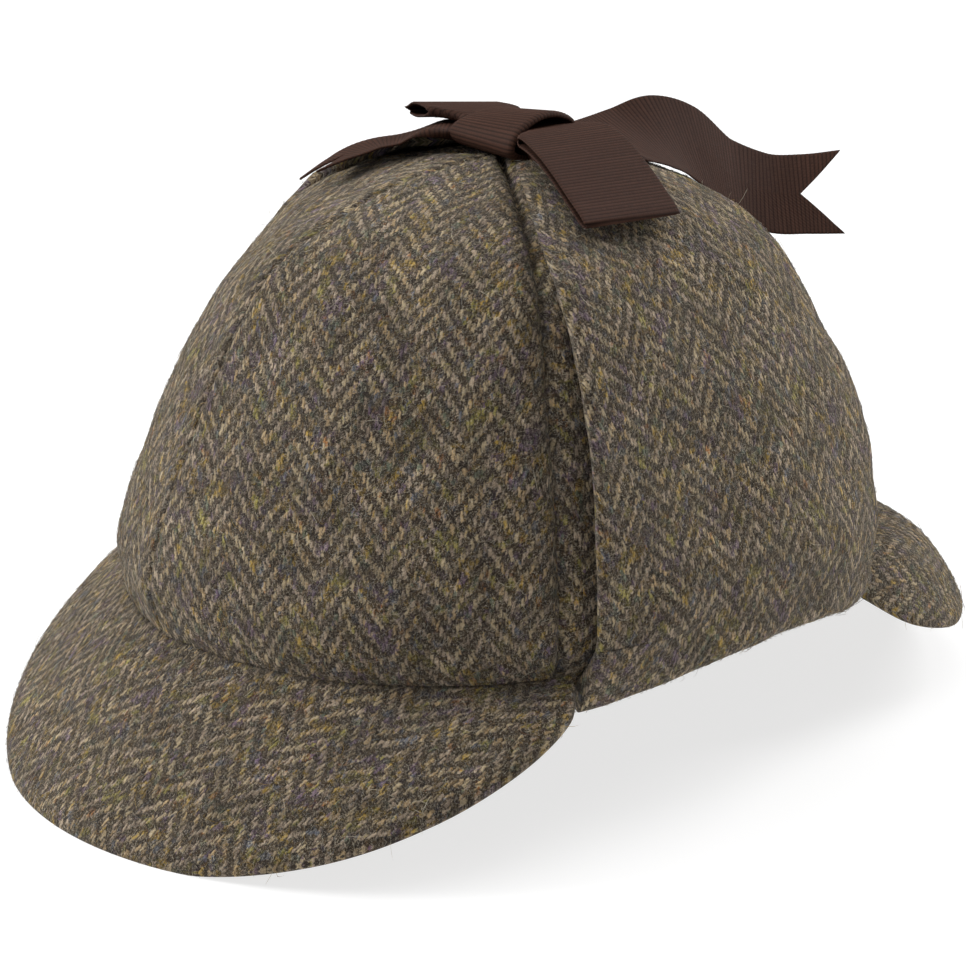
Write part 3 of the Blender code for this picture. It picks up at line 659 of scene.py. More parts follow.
def tweed(name):
    """Herringbone tweed: 2/2 twill that turns at each column, a pale warp over a dark weft. Each
    stretch of yarn that comes to the surface has a shade of its own."""
    wool = settings("tweed")
    surface = Surface(name, {
        "Roughness": 0.95, "Specular IOR Level": 0.15,
        "Sheen Weight": 0.18, "Sheen Roughness": 0.5, "Sheen Tint": (0.80, 0.74, 0.62, 1.0),
    })
    u, v = cloth_axes(surface)
    wander = off_line(surface, u / 3.4, v / 3.4, 1.5, 2.0, 1.5)
    drift = off_line(surface, u / 2.8, v / 3.8, 7.5, 2.0, 2.0)
    wander = wander + off_line(surface, u * 1.30, v * 1.00, 4.5, 3.0, 1.7)
    drift = drift + off_line(surface, u * 1.20, v * 0.90, 8.5, 3.0, 2.4)

    # which warp end and weft pick meet here, and which of the two is on top
    ends = (u + wander) / mm(wool.end_pitch)
    picks = (v + drift) / mm(wool.pick_pitch)
    parity = (ends / wool.column_ends).floor() % 2.0
    heading = 1 - parity * 2
    phase = (ends.floor() * heading + picks.floor() + parity * 2) % 4.0
    weft_up = phase > 1.5
    warp_up = 1 - weft_up

    # how high the yarn on top stands, round across itself and along its stretch
    end_cross = ends.fraction()
    pick_cross = picks.fraction()
    warp_run = (phase + pick_cross) / 2
    weft_run = (phase - 2 + (end_cross - 0.5) * heading + 0.5) / 2
    warp_round = (end_cross * math.pi).sine() * (0.25 + (warp_run * math.pi).sine() * 0.75)
    weft_round = (pick_cross * math.pi).sine() * (0.30 + (weft_run * math.pi).sine() * 0.70)
    height = warp_up * warp_round + weft_up * weft_round * WEFT_HEIGHT

    # three numbers by chance for each stretch of yarn on top
    stretch_u = ends.floor() - weft_up * heading * (phase - 2)
    stretch_v = picks.floor() - warp_up * phase
    stretch = surface.node("ShaderNodeCombineXYZ", {}, stretch_u, stretch_v, weft_up * 5.0)
    chance = surface.node("ShaderNodeTexWhiteNoise", {"noise_dimensions": "3D"}, stretch, output=1)
    brightness, hue, cluster = (
        surface.node("ShaderNodeSeparateColor", {}, chance, output=k) for k in range(3))

    # fibres along the warp and across it, and clouds that shade many yarns
    fibre = noise_at(surface, u * 2.1, v * 0.75, 3.0, detail=4.0, roughness=0.75).ramp(0.30, 0.70)
    slant_u, slant_v = u + v * 0.55, v - u * 0.55
    cross_fibre = noise_at(surface, slant_u * 0.9, slant_v * 2.3, 9.0, detail=4.0, roughness=0.75)
    cross_fibre = cross_fibre.ramp(0.30, 0.70)
    cloud = noise_at(surface, u / 11, v / 11, 2.0, detail=3.0)

    tone = (brightness * 0.62 + fibre * 1.05 + cross_fibre * 0.52 - 0.60).ramp(0.0, 1.0)
    pale = surface.mix(tone, wool.warp_shade, wool.light)
    deep = surface.mix(tone, wool.dark, wool.weft_shade)
    colour = surface.mix(weft_up, pale, deep)
    warmth = surface.mix(hue > 0.40, COOL_WOOL, WARM_WOOL)
    warmth = surface.mix(hue > 0.82, warmth, TAN_WOOL)
    colour = surface.mix(1.0, colour, warmth, "MULTIPLY")
    for shade, seed, least in TINTS:
        spot = noise_at(surface, u * 0.24 + seed, v * 0.17 + seed, seed, detail=4.0, roughness=0.62)
        mask = (spot + (cluster - 0.5) * 0.12).ramp(least, least + TINT_EDGE)
        tint = surface.mix(tone, Vector(shade) * 0.40, Vector(shade) * 1.50)
        colour = surface.mix(mask * (0.50 + warp_up * 0.40), colour, tint)
    strand = (fibre * cross_fibre).ramp(0.50, 0.85)
    colour = surface.mix(strand * 0.55, colour, wool.strand)
    # painted shade: the colour darkens where the yarns stand low, in the gaps between them
    unshaded = (height * 0.85 + fibre * 0.50 + cross_fibre * 0.42).ramp(0.36, 1.04)
    colour = surface.mix(unshaded, surface.mix(0.92, colour, PAINTED_GAP_SHADE), colour)
    curl = thin_lines(surface, u * 1.05, v * 0.72, 21.0, (0.024, 0.006))
    crinkle = thin_lines(surface, u * 0.85 + 9.0, v * 1.15, 31.0, (0.020, 0.005))
    fuzz = curl * cross_fibre.ramp(0.35, 0.75) + crinkle * fibre.ramp(0.35, 0.75)
    colour = surface.mix(fuzz.ramp(0.0, 1.0) * 0.70, colour, wool.strand)
    clouded = surface.mix(0.42, colour, SHADED_CLOUD)
    colour = surface.mix(cloud.ramp(0.34, 0.66), clouded, colour)
    surface.feed("Base Color", colour)
    surface.feed("Roughness", 0.88 + fibre * 0.12)
    relief = height + fibre * 0.3 + cross_fibre * 0.3 + fuzz * 0.3
    bump = surface.node("ShaderNodeBump", {}, strength=0.8, distance=0.00045, height=relief)
    surface.feed("Normal", bump)
    return surface.material


THREAD_PITCH = 0.26  # spacing of the threads that run along the ribbon, mm
THREAD_WANDER = 0.25


def grosgrain(name):
    """Dark ribbon: the ribs are shape, and the fine threads that run along it are bump. Shade in
    the grooves between the threads and between the ribs is painted into the colour.
    """
    ribbon = settings("ribbon")
    surface = Surface(name, {"Roughness": 0.7, "Specular IOR Level": 0.12})
    u, v = cloth_axes(surface)
    wander = off_line(surface, u / 2.0, v / 6.0, 1.5, 2.0, THREAD_WANDER)
    thread = ((u + wander) / THREAD_PITCH).fraction()
    rounded = (thread * math.pi).sine()
    tone = noise_at(surface, u * 3.0, v * 0.5, 4.0, detail=3.0)
    band = noise_at(surface, u * 0.05, v * 1.1, 6.0, detail=1.0)
    base = Vector(ribbon.colour)
    colour = surface.mix(tone.ramp(0.3, 0.7), base * 0.72, base * 1.35)
    colour = surface.mix(band.ramp(0.45, 0.7) * 0.5, colour, base * 1.6)
    # painted shade in the grooves between the fine threads
    colour = surface.mix(rounded.ramp(0.1, 0.8), surface.mix(0.5, colour, base * 0.35), colour)
    # painted shade in the grooves between the ribs, which are also shape
    ridge = ((v / mm(ribbon.rib_pitch)).fraction() * math.pi).sine()
    colour = surface.mix(ridge.ramp(0.15, 0.80), surface.mix(0.75, colour, base * 0.25), colour)
    surface.feed("Base Color", colour)
    surface.feed("Roughness", 0.62 + tone * 0.2)
    relief = rounded + tone * 0.6
    bump = surface.node("ShaderNodeBump", {}, strength=0.5, distance=0.00008, height=relief)
    surface.feed("Normal", bump)
    return surface.material


HAIRS = (  # name, colour, share of the hairs
    ("cream", (0.52, 0.47, 0.36), 0.16),
    ("fawn", (0.27, 0.215, 0.145), 0.30),
    ("grey", (0.23, 0.22, 0.20), 0.18),
    ("umber", (0.060, 0.044, 0.032), 0.22),
    ("ochre", (0.32, 0.20, 0.05), 0.06),
    ("rust", (0.22, 0.09, 0.04), 0.03),
    ("slate", (0.10, 0.125, 0.14), 0.05),
)


def plain_wool(name, colour):
    """Wool without a pattern, because a hair is too thin to carry one."""
    constants = {"Base Color": (*colour, 1.0), "Roughness": 0.8, "Specular IOR Level": 0.25}
    return Surface(name, constants).material


def made_once(name, make, *details):
    """The material of that name, made by the first call that asks for it."""
    return bpy.data.materials.get(name) or make(name, *details)


# ---- nap


Hair = namedtuple("Hair", "start along normal length lift rise bend radius")


def hair_tubes(hair, segments):
    """Vertices and triangles of closed, tapered, three-sided hairs."""
    count = len(hair.start)
    side = np.cross(hair.normal, hair.along)
    rings = segments - 1
    vertices = np.zeros((count, 2 + 3 * rings, 3))

    def centre(t):
        arch = 4 * t * (1 - t)
        run = hair.along * (hair.length * t)[:, None]
        out = hair.normal * (hair.lift * arch + hair.rise * t**2)[:, None]
        return hair.start + run + out + side * (hair.bend * arch)[:, None]

    vertices[:, 0] = centre(0.0)
    vertices[:, 1] = centre(1.0)
    for ring in range(rings):
        t = (ring + 1) / segments
        middle = centre(t)
        thick = hair.radius * math.sin(math.pi * t) ** 0.5
        for corner in range(3):
            turn = 2 * math.pi * corner / 3
            spoke = side * math.cos(turn) + hair.normal * math.sin(turn)
            vertices[:, 2 + 3 * ring + corner] = middle + spoke * thick[:, None]
    triangles = []
    for corner in range(3):
        after = (corner + 1) % 3
        triangles.append((0, 2 + corner, 2 + after))
        for ring in range(rings - 1):
            low, high = 2 + 3 * ring, 5 + 3 * ring
            triangles.append((low + corner, high + corner, high + after))
            triangles.append((low + corner, high + after, low + after))
        last = 2 + 3 * (rings - 1)
        triangles.append((1, last + after, last + corner))
    each = vertices.shape[1]
    faces = (np.arange(count)[:, None, None] * each + np.array(triangles)[None]).reshape(-1, 3)
    return vertices.reshape(-1, 3), faces, len(triangles)


def scatter(grid, under, count, chance):
    """Places spread evenly over a grid, and their directions away from under and along the cloth."""
    across = np.gradient(grid, axis=1)
    along = np.gradient(grid, axis=0)
    normals = unit(np.cross(across, along))
    normals = normals * np.sign(np.sum(normals * (grid - under)))
    size = np.linalg.norm(np.cross(across, along), axis=-1)[:-1, :-1].ravel()
    cells = chance.choice(len(size), count, p=size / size.sum())
    i, j = np.divmod(cells, grid.shape[1] - 1)
    fi, fj = chance.uniform(size=(2, count, 1))

    def read(values):
        low = values[i, j] * (1 - fj) + values[i, j + 1] * fj
        high = values[i + 1, j] * (1 - fj) + values[i + 1, j + 1] * fj
        return low * (1 - fi) + high * fi

    return read(grid), unit(read(normals)), unit(read(along))


NAP_KINDS = (  # setting with the count, segments, lengths, lift, rise, bend, spread in degrees
    ("hairs", 2, (0.9, 2.4), 0.20, 0.35, 0.35, 42.0),
    ("kemps", 4, (2.4, 6.5), 0.28, 0.45, 1.10, 65.0),
)
HAIR_RADII = (0.035, 0.060)
LEAST_LIFT = 0.03  # how far the flattest hairs arch off the cloth


def add_nap(name, grid, under, seed):
    """Short hairs that lie nearly flat along the cloth, and a few long stray ones."""
    wool = settings("tweed")
    chance = np.random.default_rng(seed)
    vertices, faces, shades = [], [], []
    first = 0
    for kind, segments, lengths, lift, rise, bend, spread in NAP_KINDS:
        count = getattr(wool, kind)
        start, normal, along = scatter(grid, under, count, chance)
        turn = np.radians(chance.normal(0, spread, count))[:, None]
        heading = np.where(chance.uniform(size=(count, 1)) < 0.5, -1.0, 1.0)
        way = unit(along * np.cos(turn) * heading + np.cross(normal, along) * np.sin(turn))
        hair = Hair(start, way, normal, chance.uniform(*lengths, count),
                    chance.uniform(LEAST_LIFT, lift, count), rise * chance.uniform(size=count) ** 3,
                    chance.normal(0, bend, count), chance.uniform(*HAIR_RADII, count))
        points, triangles, each = hair_tubes(hair, segments)
        vertices.append(points)
        faces.append(triangles + first)
        shade = chance.choice(len(HAIRS), count, p=[share for *_, share in HAIRS])
        shades.append(np.repeat(shade, each))
        first += len(points)
    vertices = np.concatenate(vertices)
    vertices[:, 2] = np.maximum(vertices[:, 2], 0.0)  # those that meet the floor lie on it
    piece = mesh_piece(name, vertices, np.concatenate(faces))
    for shade_name, colour, _ in HAIRS:
        piece.data.materials.append(made_once("wool_hair_" + shade_name, plain_wool, colour))
    piece.data.polygons.foreach_set("material_index", np.concatenate(shades).astype(np.int32))
    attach(piece, BODY)


def add_tweed(name, node, grids, seed):
    """One piece of tweed with its nap."""
    outer, inner, flat, across, along = grids
    piece = slab(name, outer, inner, flat, across, along)
    finish_piece(piece, node, made_once("tweed_herringbone", tweed))
    add_nap(name.removesuffix("_cloth") + "_nap", outer, inner, seed)


# ---- crown


PANEL_WIDTH = 95.0  # about how wide a panel is
PANEL_EDGES = (0.0, 0.12, 0.35, 0.75, 1.3, 2.0, 2.9, 4.0)  # where columns stand beside a seam
PANEL_COLUMNS = 44  # the even ones between the last of those
PANEL_ROWS = 112
PANEL_TOP = 0.9985  # where the panels' points meet, just short of the middle
GROOVE_WIDTH = 0.95
VALLEY_WIDTH = 3.0
VALLEY_POWER = 4  # how much shallower the valley is than the groove at a seam of less depth
ALLOWANCE_START = 1.2  # distance from the seam at which the turned cloth has its full rise
ALLOWANCE_FADE = 0.7  # how softly it ends
PUCKER = 0.14  # height of the small waves that the stitches pull along a seam
PUCKER_TURN = 0.9  # how fast they follow each other, in radians for each mm
PUCKER_REACH = 4.0
CROWN_SOFT = ((1.0, 42), (0.45, 17))  # shares and sizes of what makes the cloth wander
CALM_HEIGHT = 0.12  # share of the height, at the bottom, in which it wanders less
LEAST_WANDER = 0.25


def panel_grid(number):
    """Outer face, inner face and flat places of one crown panel."""
    crown = settings("crown")
    across = edged(PANEL_COLUMNS, PANEL_WIDTH, PANEL_EDGES)
    along = np.linspace(0, PANEL_TOP, PANEL_ROWS)
    s, t = np.meshgrid(across, along)
    angle = SEAM_ANGLES[number] + (SEAM_ANGLES[number + 1] - SEAM_ANGLES[number]) * s
    face = crown_points(angle, t)
    normal = crown_normals(face)
    middle = len(across) // 2
    run = run_length(face, 1)
    u = run - run[:, middle:middle + 1]
    v = np.broadcast_to(run_length(face, 0)[:, middle:middle + 1], u.shape)
    to_seam = np.minimum(run, run[:, -1:] - run)
    depth = SEAM_DEPTHS[number] + (SEAM_DEPTHS[number + 1] - SEAM_DEPTHS[number]) * s
    dip = -mm(crown.groove) * depth * np.exp(-(to_seam / GROOVE_WIDTH) ** 2)
    valley = -mm(crown.valley) * depth**VALLEY_POWER * np.exp(-(to_seam / VALLEY_WIDTH) ** 2)
    fold = mm(crown.allowance_rise) * np.clip(to_seam / ALLOWANCE_START, 0, 1)
    fold *= 1 / (1 + np.exp((to_seam - mm(crown.allowance)) / ALLOWANCE_FADE))
    waves = np.sin(v * PUCKER_TURN + number * 2.1 + 3 * soft_noise(face, 25, 5))
    pucker = PUCKER * waves * np.exp(-to_seam / PUCKER_REACH)
    height = spline(CROWN_PROFILE, t)[..., 0]
    calm = np.clip(height / CALM_HEIGHT, LEAST_WANDER, 1)
    soft = mm(crown.wobble) * soft_relief(face, CROWN_SOFT, 3) * calm
    outer = face + normal * (dip + valley + fold + pucker + soft)[..., None]
    inner = face - normal * (mm(crown.cloth) - valley - soft)[..., None]
    return outer, inner, turned_grain(np.stack([u, v], -1), PANEL_GRAINS[number]), across, along


class DEERSTALKER_OT_crown(bpy.types.Operator):
    """Add the six panels of the crown, with their seams"""

    bl_idname = "deerstalker.crown"
    bl_label = "Crown panels"

    def execute(self, context):
        for number in range(len(SEAM_ANGLES) - 1):
            add_tweed(f"crown_panel_{number + 1}", "crown", panel_grid(number),
                      100 + number)
        return {"FINISHED"}


# ---- peaks


PEAK_COLUMNS = 190
END_CROWDING = 0.05  # how much closer the columns stand at a peak's two ends
RIM_START = 0.90  # share of the way out at which the rows start to crowd towards the rim
RIM_FIRST = 0.12  # share of a quarter turn at which the first crowded row stands
PEAK_ROWS = (26, 12)  # rows before RIM_START and after it
PEAK_GAP = 0.1  # between the peak's seam edge and the crown
RIM_RADIUS = 0.55  # of the rounded rim, as a share of the thickness
PEAK_SINK = 0.44  # how far the middle lies under the top face, as a share of the thickness
PEAK_SOFT = ((1.0, 38), (0.4, 14))  # shares and sizes of what makes the cloth wander
CALM_RIM = 6.0  # distance from the rim within which it wanders less
CALM_SEAM = 0.25  # share of the way out from the seam within which it does too


def front_peak_rows():
    """Angle, reach and height of the front peak's rim, in even turns round its half ellipse."""
    rows = []
    for step in range(-FRONT_STEPS, FRONT_STEPS + 1):
        turn = math.pi / 2 * step / FRONT_STEPS
        share = math.sin(turn)
        reach = PEAK_END_REACH + (FRONT_REACH - PEAK_END_REACH) * math.cos(turn)
        risen = max(0.0, abs(share) - FRONT_FLAT) / (1 - FRONT_FLAT)
        rows.append((FRONT_SPREAD * share, reach, FRONT_END_HEIGHT * risen**FRONT_CURL))
    return rows


def peak_grid(rows, bulge, grain, seed):
    """Top, underside and flat places of a peak, rounded at its rim and its two points."""
    peak = settings("peak")
    thick = mm(peak.thickness)
    first, last = rows[0][0], rows[-1][0]
    even = np.linspace(0, 1, PEAK_COLUMNS)
    angle = first + (last - first) * (even - END_CROWDING * np.sin(2 * np.pi * even))
    curve = spline(rows, STEPS)
    reach = np.interp(angle, curve[:, 0], curve[:, 1])[None, :]
    rim = np.maximum(0, np.interp(angle, curve[:, 0], curve[:, 2]))[None, :]
    crowded = np.sin(np.linspace(RIM_FIRST, 1, PEAK_ROWS[1]) * np.pi / 2)
    w = np.concatenate([np.linspace(0, RIM_START, PEAK_ROWS[0]), RIM_START + (1 - RIM_START) * crowded])
    w = w[:, None]
    base = crown_points(angle, 1 / (len(CROWN_PROFILE) - 1))[None]
    out = crown_outward(angle)[None]
    full = np.minimum(1, reach / FULL_BULGE_REACH)
    drop = (base[..., 2] - rim - PEAK_EDGE) * w
    lift = bulge * np.sin(np.pi * w**BULGE_SKEW) * full - drop
    top = base + out * (PEAK_GAP + reach * w)[..., None] + UP * lift[..., None]
    from_rim = np.linalg.norm(top - top[-1:], axis=-1)
    round_rim = fullness(from_rim, thick * RIM_RADIUS)
    body = thick * round_rim
    middle = top - UP * (thick * PEAK_SINK)
    middle[..., 2] += (1 - round_rim) * (thick / 2 - PEAK_EDGE)
    soft = mm(peak.wobble) * soft_relief(top, PEAK_SOFT, seed)
    soft *= np.clip(from_rim / CALM_RIM, 0, 1) * np.clip(w / CALM_SEAM, 0, 1)
    middle[..., 2] += soft
    upper = middle + UP * (body / 2)[..., None]
    lower = middle - UP * (body / 2)[..., None]
    lower[..., 2] = np.maximum(lower[..., 2], 0)
    chord = np.linalg.norm(top[-1] - top[0], axis=-1)
    seam_line, rim_line = laid_flat(top[0], top[-1], chord)
    laid = seam_line + (rim_line - seam_line) * run_length(upper, 0) / chord
    flat = turned_grain(np.stack([laid.real, laid.imag], -1), grain)
    return upper, lower, flat, even, w[:, 0]


class DEERSTALKER_OT_peaks(bpy.types.Operator):
    """Add the front and the back peak"""

    bl_idname = "deerstalker.peaks"
    bl_label = "Peaks"

    def execute(self, context):
        peaks = (  # node, rim, bulge, grain, seed, flat size, area
            ("front_peak", front_peak_rows(), FRONT_BULGE, FRONT_GRAIN, 21, (0.190, 0.075), 0.0101),
            ("back_peak", BACK_PEAK, BACK_BULGE, BACK_GRAIN, 31, (0.165, 0.080), 0.0093),
        )
        for node, rows, bulge, grain, seed, flat_size, area in peaks:
            add_tweed(node + "_cloth", node, peak_grid(rows, bulge, grain, seed),
                      200 + seed)
        return {"FINISHED"}


# ---- ear flaps


FLAP_WIDTH = 95.0  # about how wide a flap is
FLAP_LENGTH = 150.0  # about how long it is above its turned edge
FLAP_EDGES = (0.0, 0.12, 0.35, 0.75, 1.3, 2.0, 3.0)  # closer columns and rows beside an edge
FLAP_COLUMNS = 52
FLAP_ROWS = 86
FLAP_FIRST = 0.004  # rows before this share of the length are left to the turned edge
FOLD_ROWS = 6  # steps of the grid round the turned edge
FOLD_FINE = 31  # rows that take their place
FLAP_SOFT = ((0.55, 36), (0.25, 13))  # heights and sizes of what makes its face uneven, in mm
FLAP_CALM = 10.0  # distance from the cut edge over which that starts


def flap_grid(back, lift_share, seed):
    """Outer face, inner face and flat places of the left flap; back is how far back its tip is
    tied, and lift_share how much of the rows' lift its front edge has."""
    across = edged(FLAP_COLUMNS, FLAP_WIDTH, FLAP_EDGES)
    first, tip = EAR_FLAP[0], EAR_FLAP[-1]
    radius = CROWN_HALF_LENGTH * CROWN_PROFILE[0][1]
    ys = first[1] + (first[2] - first[1]) * across
    angle = np.degrees(np.arccos((CROWN_CENTRE_Y - ys) / radius))
    base = crown_points(angle, 0.0)
    out = crown_outward(angle)
    inner_rows = [base + out * row[0] + UP * row[1] for row in FLAP_FOLD]
    outer_rows = [base + out * row[2] + UP * row[3] for row in FLAP_FOLD]
    t = edged(FLAP_ROWS, FLAP_LENGTH, FLAP_EDGES)
    t = t[t > FLAP_FIRST]
    rise, front, rear, lift, thick = (column[:, None] for column in spline(EAR_FLAP, t).T)
    front = front + back * (rise - first[0]) / (tip[0] - first[0])
    s = across[None, :]
    width = rear - front
    to_tip = (tip[0] - rise) * CLOTH_PER_DEGREE
    from_edge = np.minimum(np.minimum(s * width, (1 - s) * width), to_tip)
    stand = lift * lift_share * np.clip(1 - s / LIFT_SHARE, 0, 1) ** LIFT_POWER
    y = front + width * s
    turn = np.radians(rise + 0 * s)
    start = np.stack([0 * y, y, 0 * y + FLAP_HINGE_Z], -1)
    direction = np.stack([np.cos(turn), 0 * turn, np.sin(turn)], -1)
    face = crown_along(start, direction)
    normal = crown_normals(face)
    half = thick / 2 * fullness(from_edge, thick * 0.5)
    middle = face + normal * (FLAP_CLEARANCE + stand + thick / 2)[..., None]
    upper_outer = middle + normal * half[..., None]
    upper_inner = middle - normal * half[..., None]
    outer = np.concatenate([np.array(outer_rows), upper_outer])
    inner = np.concatenate([np.array(inner_rows), upper_inner])
    return smooth_fold(outer, inner, across, seed)


def smooth_fold(outer, inner, across, seed):
    """The flap's grids with more rows round the turned edge, and their flat places."""
    rows = len(outer)
    fine = np.linspace(0, FOLD_ROWS, FOLD_FINE)
    places = np.concatenate([fine, np.arange(FOLD_ROWS + 1, rows)]) / (rows - 1)

    def reread(grid):
        return spline(grid.reshape(rows, -1), places).reshape(len(places), -1, 3)

    outer, inner = reread(outer), reread(inner)
    normal = unit(outer - inner)
    run = run_length(outer, 0)
    soft = soft_relief(outer, FLAP_SOFT, seed) * np.clip(run / FLAP_CALM, 0, 1)
    outer = outer + normal * soft[..., None]
    inner = inner + normal * soft[..., None]
    crosswise = run_length(outer, 1)
    straight = [np.interp(FLAP_GRAIN_Y, row[:, 1], length) for row, length in zip(outer, crosswise)]
    u = crosswise - np.array(straight)[:, None]
    flat = turned_grain(np.stack([u, run], -1), FLAP_GRAIN)
    along = run[:, run.shape[1] // 2]
    return outer, inner, flat, across, along / along[-1]


class DEERSTALKER_OT_flaps(bpy.types.Operator):
    """Add the two ear flaps, turned up over the crown"""

    bl_idname = "deerstalker.flaps"
    bl_label = "Ear flaps"

    def execute(self, context):
        flaps = (  # node, how far back its tip is tied, share of the lift, seed, side
            ("ear_flap_left", 0.0, 1.0, 41, 1),
            ("ear_flap_right", RIGHT_FLAP_BACK, RIGHT_FLAP_LIFT, 51, -1),
        )
        for node, back, lift_share, seed, side in flaps:
            outer, inner, *places = flap_grid(back, lift_share, seed)
            grids = (outer * (side, 1, 1), inner * (side, 1, 1), *places)
            add_tweed(node + "_cloth", node, grids, 300 + seed)
        return {"FINISHED"}


# ---- bow


ROWS_PER_RIB = 4
RIBBON_STEPS = 1200  # at which a ribbon's route is worked out before its rows are laid
RIBBON_WIDTH = 26.0  # about how wide it is
RIBBON_EDGES = (0.0, 0.12, 0.45, 1.0)  # closer columns beside an edge
RIBBON_COLUMNS = 23
RIBBON_ROUND = 0.5  # radius of its two edges
RIB_POWER = 0.7  # below 1, ribs are broad with narrow grooves between them
FULL_TUCK = 2.5  # how far a half width is drawn in once its edge lies flat under it
TUCK_BENDS = (0.45, 0.80)  # radius of the fold on each side, so that one edge lies under the other


def ribbon_frames(rows, steps):
    """Centres, side directions, normals and half widths of a ribbon at even steps."""
    path = spline(rows, np.linspace(0, 1, steps))
    centres = path[:, :3]
    ahead = unit(np.gradient(centres, axis=0))
    level = np.cross(UP, centres[1] - centres[0])
    sides = []
    for i in range(steps):
        level = level - ahead[i] * (level @ ahead[i])
        level[2] = 0.0
        level = level / np.linalg.norm(level)
        sides.append(level)
    lean = np.radians(path[:, 3])[:, None]
    side = np.array(sides) * np.cos(lean) + UP * np.sin(lean)
    normal = unit(np.cross(ahead, side))
    return centres, side, normal, path[:, 4] * mm(settings("ribbon").width) / 2


def ribbon_grid(rows, notched, tuck):
    """Outer face, inner face and flat places of a ribbon with its ribs. Where the ribbon is
    drawn in, its two edges fold under it; tuck is 1 where under means against its normal."""
    ribbon = settings("ribbon")
    pitch = mm(ribbon.rib_pitch)
    full = mm(ribbon.width) / 2
    centres, side, normal, half = ribbon_frames(rows, RIBBON_STEPS)
    run = run_length(centres[:, None], 0)[:, 0]
    total = run[-1]
    across = edged(RIBBON_COLUMNS, RIBBON_WIDTH, RIBBON_EDGES)
    c = across[None, :] * 2 - 1
    along = np.linspace(0, 1, int(total / pitch * ROWS_PER_RIB))
    cut = mm(ribbon.notch) * (1 - np.abs(c)) if notched else 0 * c
    place = along[:, None] * (total - cut)

    def read(values):
        return np.stack([np.interp(place, run, values[:, k]) for k in range(values.shape[1])], -1)

    centre, sideways, out = read(centres), unit(read(side)), unit(read(normal))
    wide = np.interp(place, run, half)
    spare = np.clip((full - wide) / FULL_TUCK, 0, 1)
    bend = np.where(c < 0, *TUCK_BENDS)
    start = wide - bend * spare
    past = np.maximum(np.abs(c) * full - start, 0)
    turned = np.minimum(past / bend, np.pi * spare)
    beyond = past - bend * turned
    reach = np.minimum(np.abs(c) * full, start) + bend * np.sin(turned) + beyond * np.cos(turned)
    under = bend * (1 - np.cos(turned)) + beyond * np.sin(turned)
    middle = centre + sideways * (np.sign(c) * reach)[..., None] - out * (tuck * under)[..., None]
    facing = out * np.cos(turned)[..., None] + sideways * (np.sign(c) * tuck * np.sin(turned))[..., None]
    rib = np.abs(np.sin(np.pi * place / pitch)) ** RIB_POWER
    body = mm(ribbon.thickness) / 2 + mm(ribbon.rib_height) * rib
    body = body * fullness((1 - np.abs(c)) * full, RIBBON_ROUND)
    flat = np.stack([c * full + 0 * place, place], -1)
    offset = facing * body[..., None]
    return middle + offset, middle - offset, flat, across, along, total


class DEERSTALKER_OT_bow(bpy.types.Operator):
    """Add the ribbon: its ties, loops, free ends and knot"""

    bl_idname = "deerstalker.bow"
    bl_label = "Ribbon bow"

    def execute(self, context):
        mirror = [(-x, y, z, -lean, width) for x, y, z, lean, width in TIE]
        ribbons = (  # piece, node, route, swallowtail, side the edges fold to, how it is held
            ("ribbon_knot", "bow_knot", KNOT, False, -1, "folded"),
            ("ribbon_tie_left", "tie_left", TIE, False, 1, "folded"),
            ("ribbon_tie_right", "tie_right", mirror, False, 1, "folded"),
            ("ribbon_loop_left", "bow_loop_left", LOOP_LEFT, False, 1, "folded"),
            ("ribbon_loop_right", "bow_loop_right", LOOP_RIGHT, False, 1, "folded"),
            ("ribbon_tail_front", "bow_tail_front", TAIL_FRONT, True, 1, "draped"),
            ("ribbon_tail_back", "bow_tail_back", TAIL_BACK, True, 1, "draped"),
        )
        ribbed = made_once("grosgrain_ribbon", grosgrain)
        width = settings("ribbon").width
        for name, node, rows, notched, tuck, held in ribbons:
            outer, inner, flat, across, along, total = ribbon_grid(rows, notched, tuck)
            piece = slab(name, outer, inner, flat, across, along)
            finish_piece(piece, node, ribbed)
            total * MM
        return {"FINISHED"}


# ---- stage


FLOOR_HALF = 4000.0  # mm from the middle of the floor to each side
LIGHTS = (  # name of the light and of its power's setting, place and size in metres
    ("top", (0.1, 0.0, 1.8), 1.6),
    ("key", (-1.15, -1.05, 1.05), 1.1),
    ("rim", (0.15, 1.50, 1.15), 1.1),
)
LIT_POINT = (0, 0, 0.07)  # what every light points at


def add_area_light(name, place, size, power):
    light = bpy.data.lights.new(name, "AREA")
    light.shape = "DISK"
    light.size = size
    light.energy = power
    lamp = bpy.data.objects.new(name, light)
    lamp.location = place
    lamp.rotation_euler = (Vector(LIT_POINT) - Vector(place)).to_track_quat("-Z", "Y").to_euler()
    bpy.context.scene.collection.objects.link(lamp)


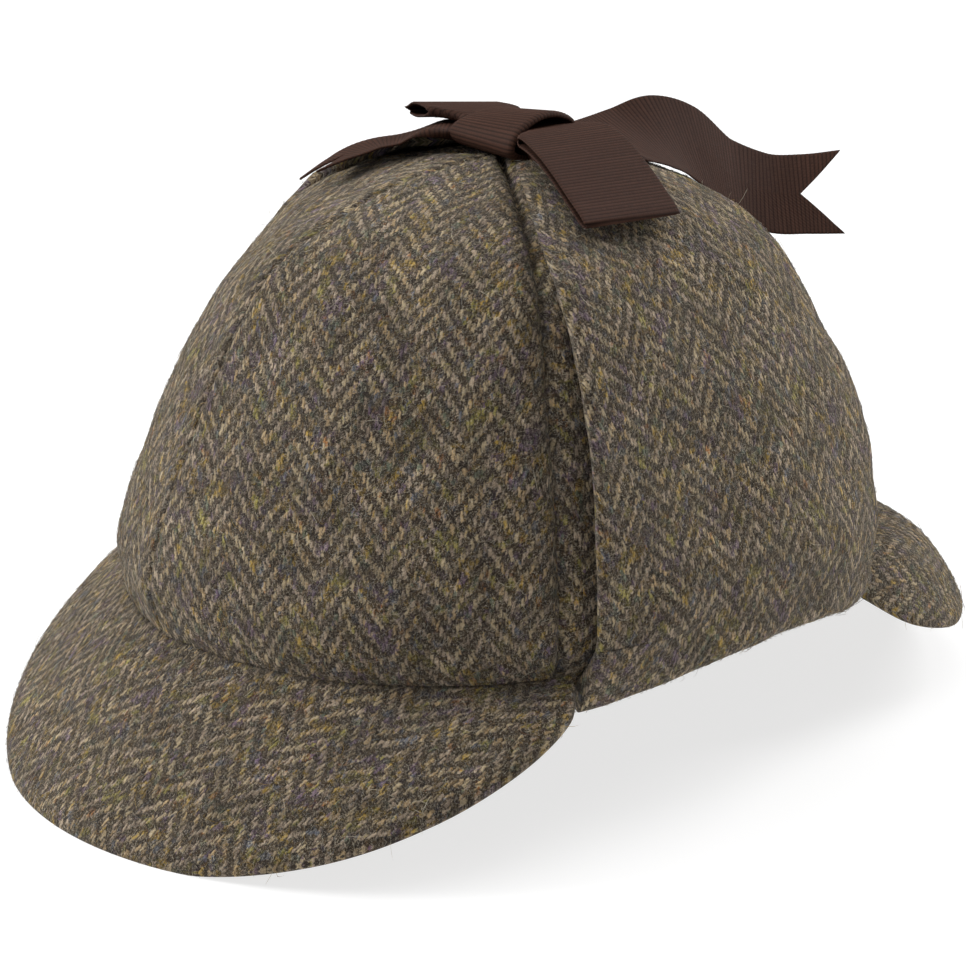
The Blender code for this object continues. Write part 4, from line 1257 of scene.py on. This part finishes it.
class DEERSTALKER_OT_stage(bpy.types.Operator):
    """Add the floor, the soft light and the camera"""

    bl_idname = "deerstalker.stage"
    bl_label = "Stage"

    def execute(self, context):
        stage = settings("stage")
        scene = bpy.context.scene
        scene.view_settings.view_transform = "Standard"
        world = bpy.data.worlds.new("surround")
        world.use_nodes = True
        background = world.node_tree.nodes["Background"]
        background.inputs["Color"].default_value = (1, 1, 1, 1)
        background.inputs["Strength"].default_value = stage.sky
        scene.world = world

        corners = np.array([(-1, -1, 0), (1, -1, 0), (1, 1, 0), (-1, 1, 0)]) * FLOOR_HALF
        floor = mesh_piece("floor", corners, np.array([[0, 1, 2, 3]]))
        surface = Surface("floor_paper", {
            "Base Color": (*stage.floor, 1.0), "Roughness": 0.9, "Specular IOR Level": 0.1,
            "Emission Color": (1, 1, 1, 1), "Emission Strength": stage.glow,
        })
        floor.data.materials.append(surface.material)

        for name, place, size in LIGHTS:
            add_area_light(name, place, size, getattr(stage, name))

        camera = bpy.data.cameras.new("camera")
        camera.sensor_fit = "HORIZONTAL"
        camera.sensor_width = CAMERA_SENSOR
        camera.lens = CAMERA_LENS
        view = bpy.data.objects.new("camera", camera)
        right = Vector(CAMERA_RIGHT).normalized()
        back = Vector(CAMERA_BACK).normalized()
        up = back.cross(right).normalized()
        turned = Matrix((right, up, back)).transposed().to_4x4()
        view.matrix_world = Matrix.Translation(CAMERA_PLACE) @ turned
        scene.collection.objects.link(view)
        scene.camera = view
        return {"FINISHED"}


# ---- sidebar and run


GROUPS = {
    "crown": CrownSettings,
    "peak": PeakSettings,
    "tweed": TweedSettings,
    "ribbon": RibbonSettings,
    "stage": StageSettings,
}
OPERATORS = (
    DEERSTALKER_OT_stage,
    DEERSTALKER_OT_crown,
    DEERSTALKER_OT_peaks,
    DEERSTALKER_OT_flaps,
    DEERSTALKER_OT_bow,
)


class DEERSTALKER_PT_sidebar(bpy.types.Panel):
    bl_idname = "DEERSTALKER_PT_sidebar"
    bl_label = "Deerstalker hat"
    bl_space_type = "VIEW_3D"
    bl_region_type = "UI"
    bl_category = "Deerstalker"

    def draw(self, context):
        for group in GROUPS:
            box = self.layout.box()
            box.label(text=group.capitalize())
            values = settings(group)
            for key in values.bl_rna.properties.keys():
                if key not in ("rna_type", "name"):
                    box.prop(values, key)
        for operator in OPERATORS:
            self.layout.operator(operator.bl_idname)


def register():
    for group, kind in GROUPS.items():
        bpy.utils.register_class(kind)
        setattr(bpy.types.Scene, SETTINGS + group, bpy.props.PointerProperty(type=kind))
    for kind in (*OPERATORS, DEERSTALKER_PT_sidebar):
        bpy.utils.register_class(kind)


def unregister():
    for kind in (DEERSTALKER_PT_sidebar, *reversed(OPERATORS)):
        bpy.utils.unregister_class(kind)
    for group, kind in GROUPS.items():
        delattr(bpy.types.Scene, SETTINGS + group)
        bpy.utils.unregister_class(kind)


def main():
    register()
    bpy.ops.deerstalker.stage()
    bpy.ops.deerstalker.crown()
    bpy.ops.deerstalker.peaks()
    bpy.ops.deerstalker.flaps()
    bpy.ops.deerstalker.bow()


if __name__ == "__main__":
    main()
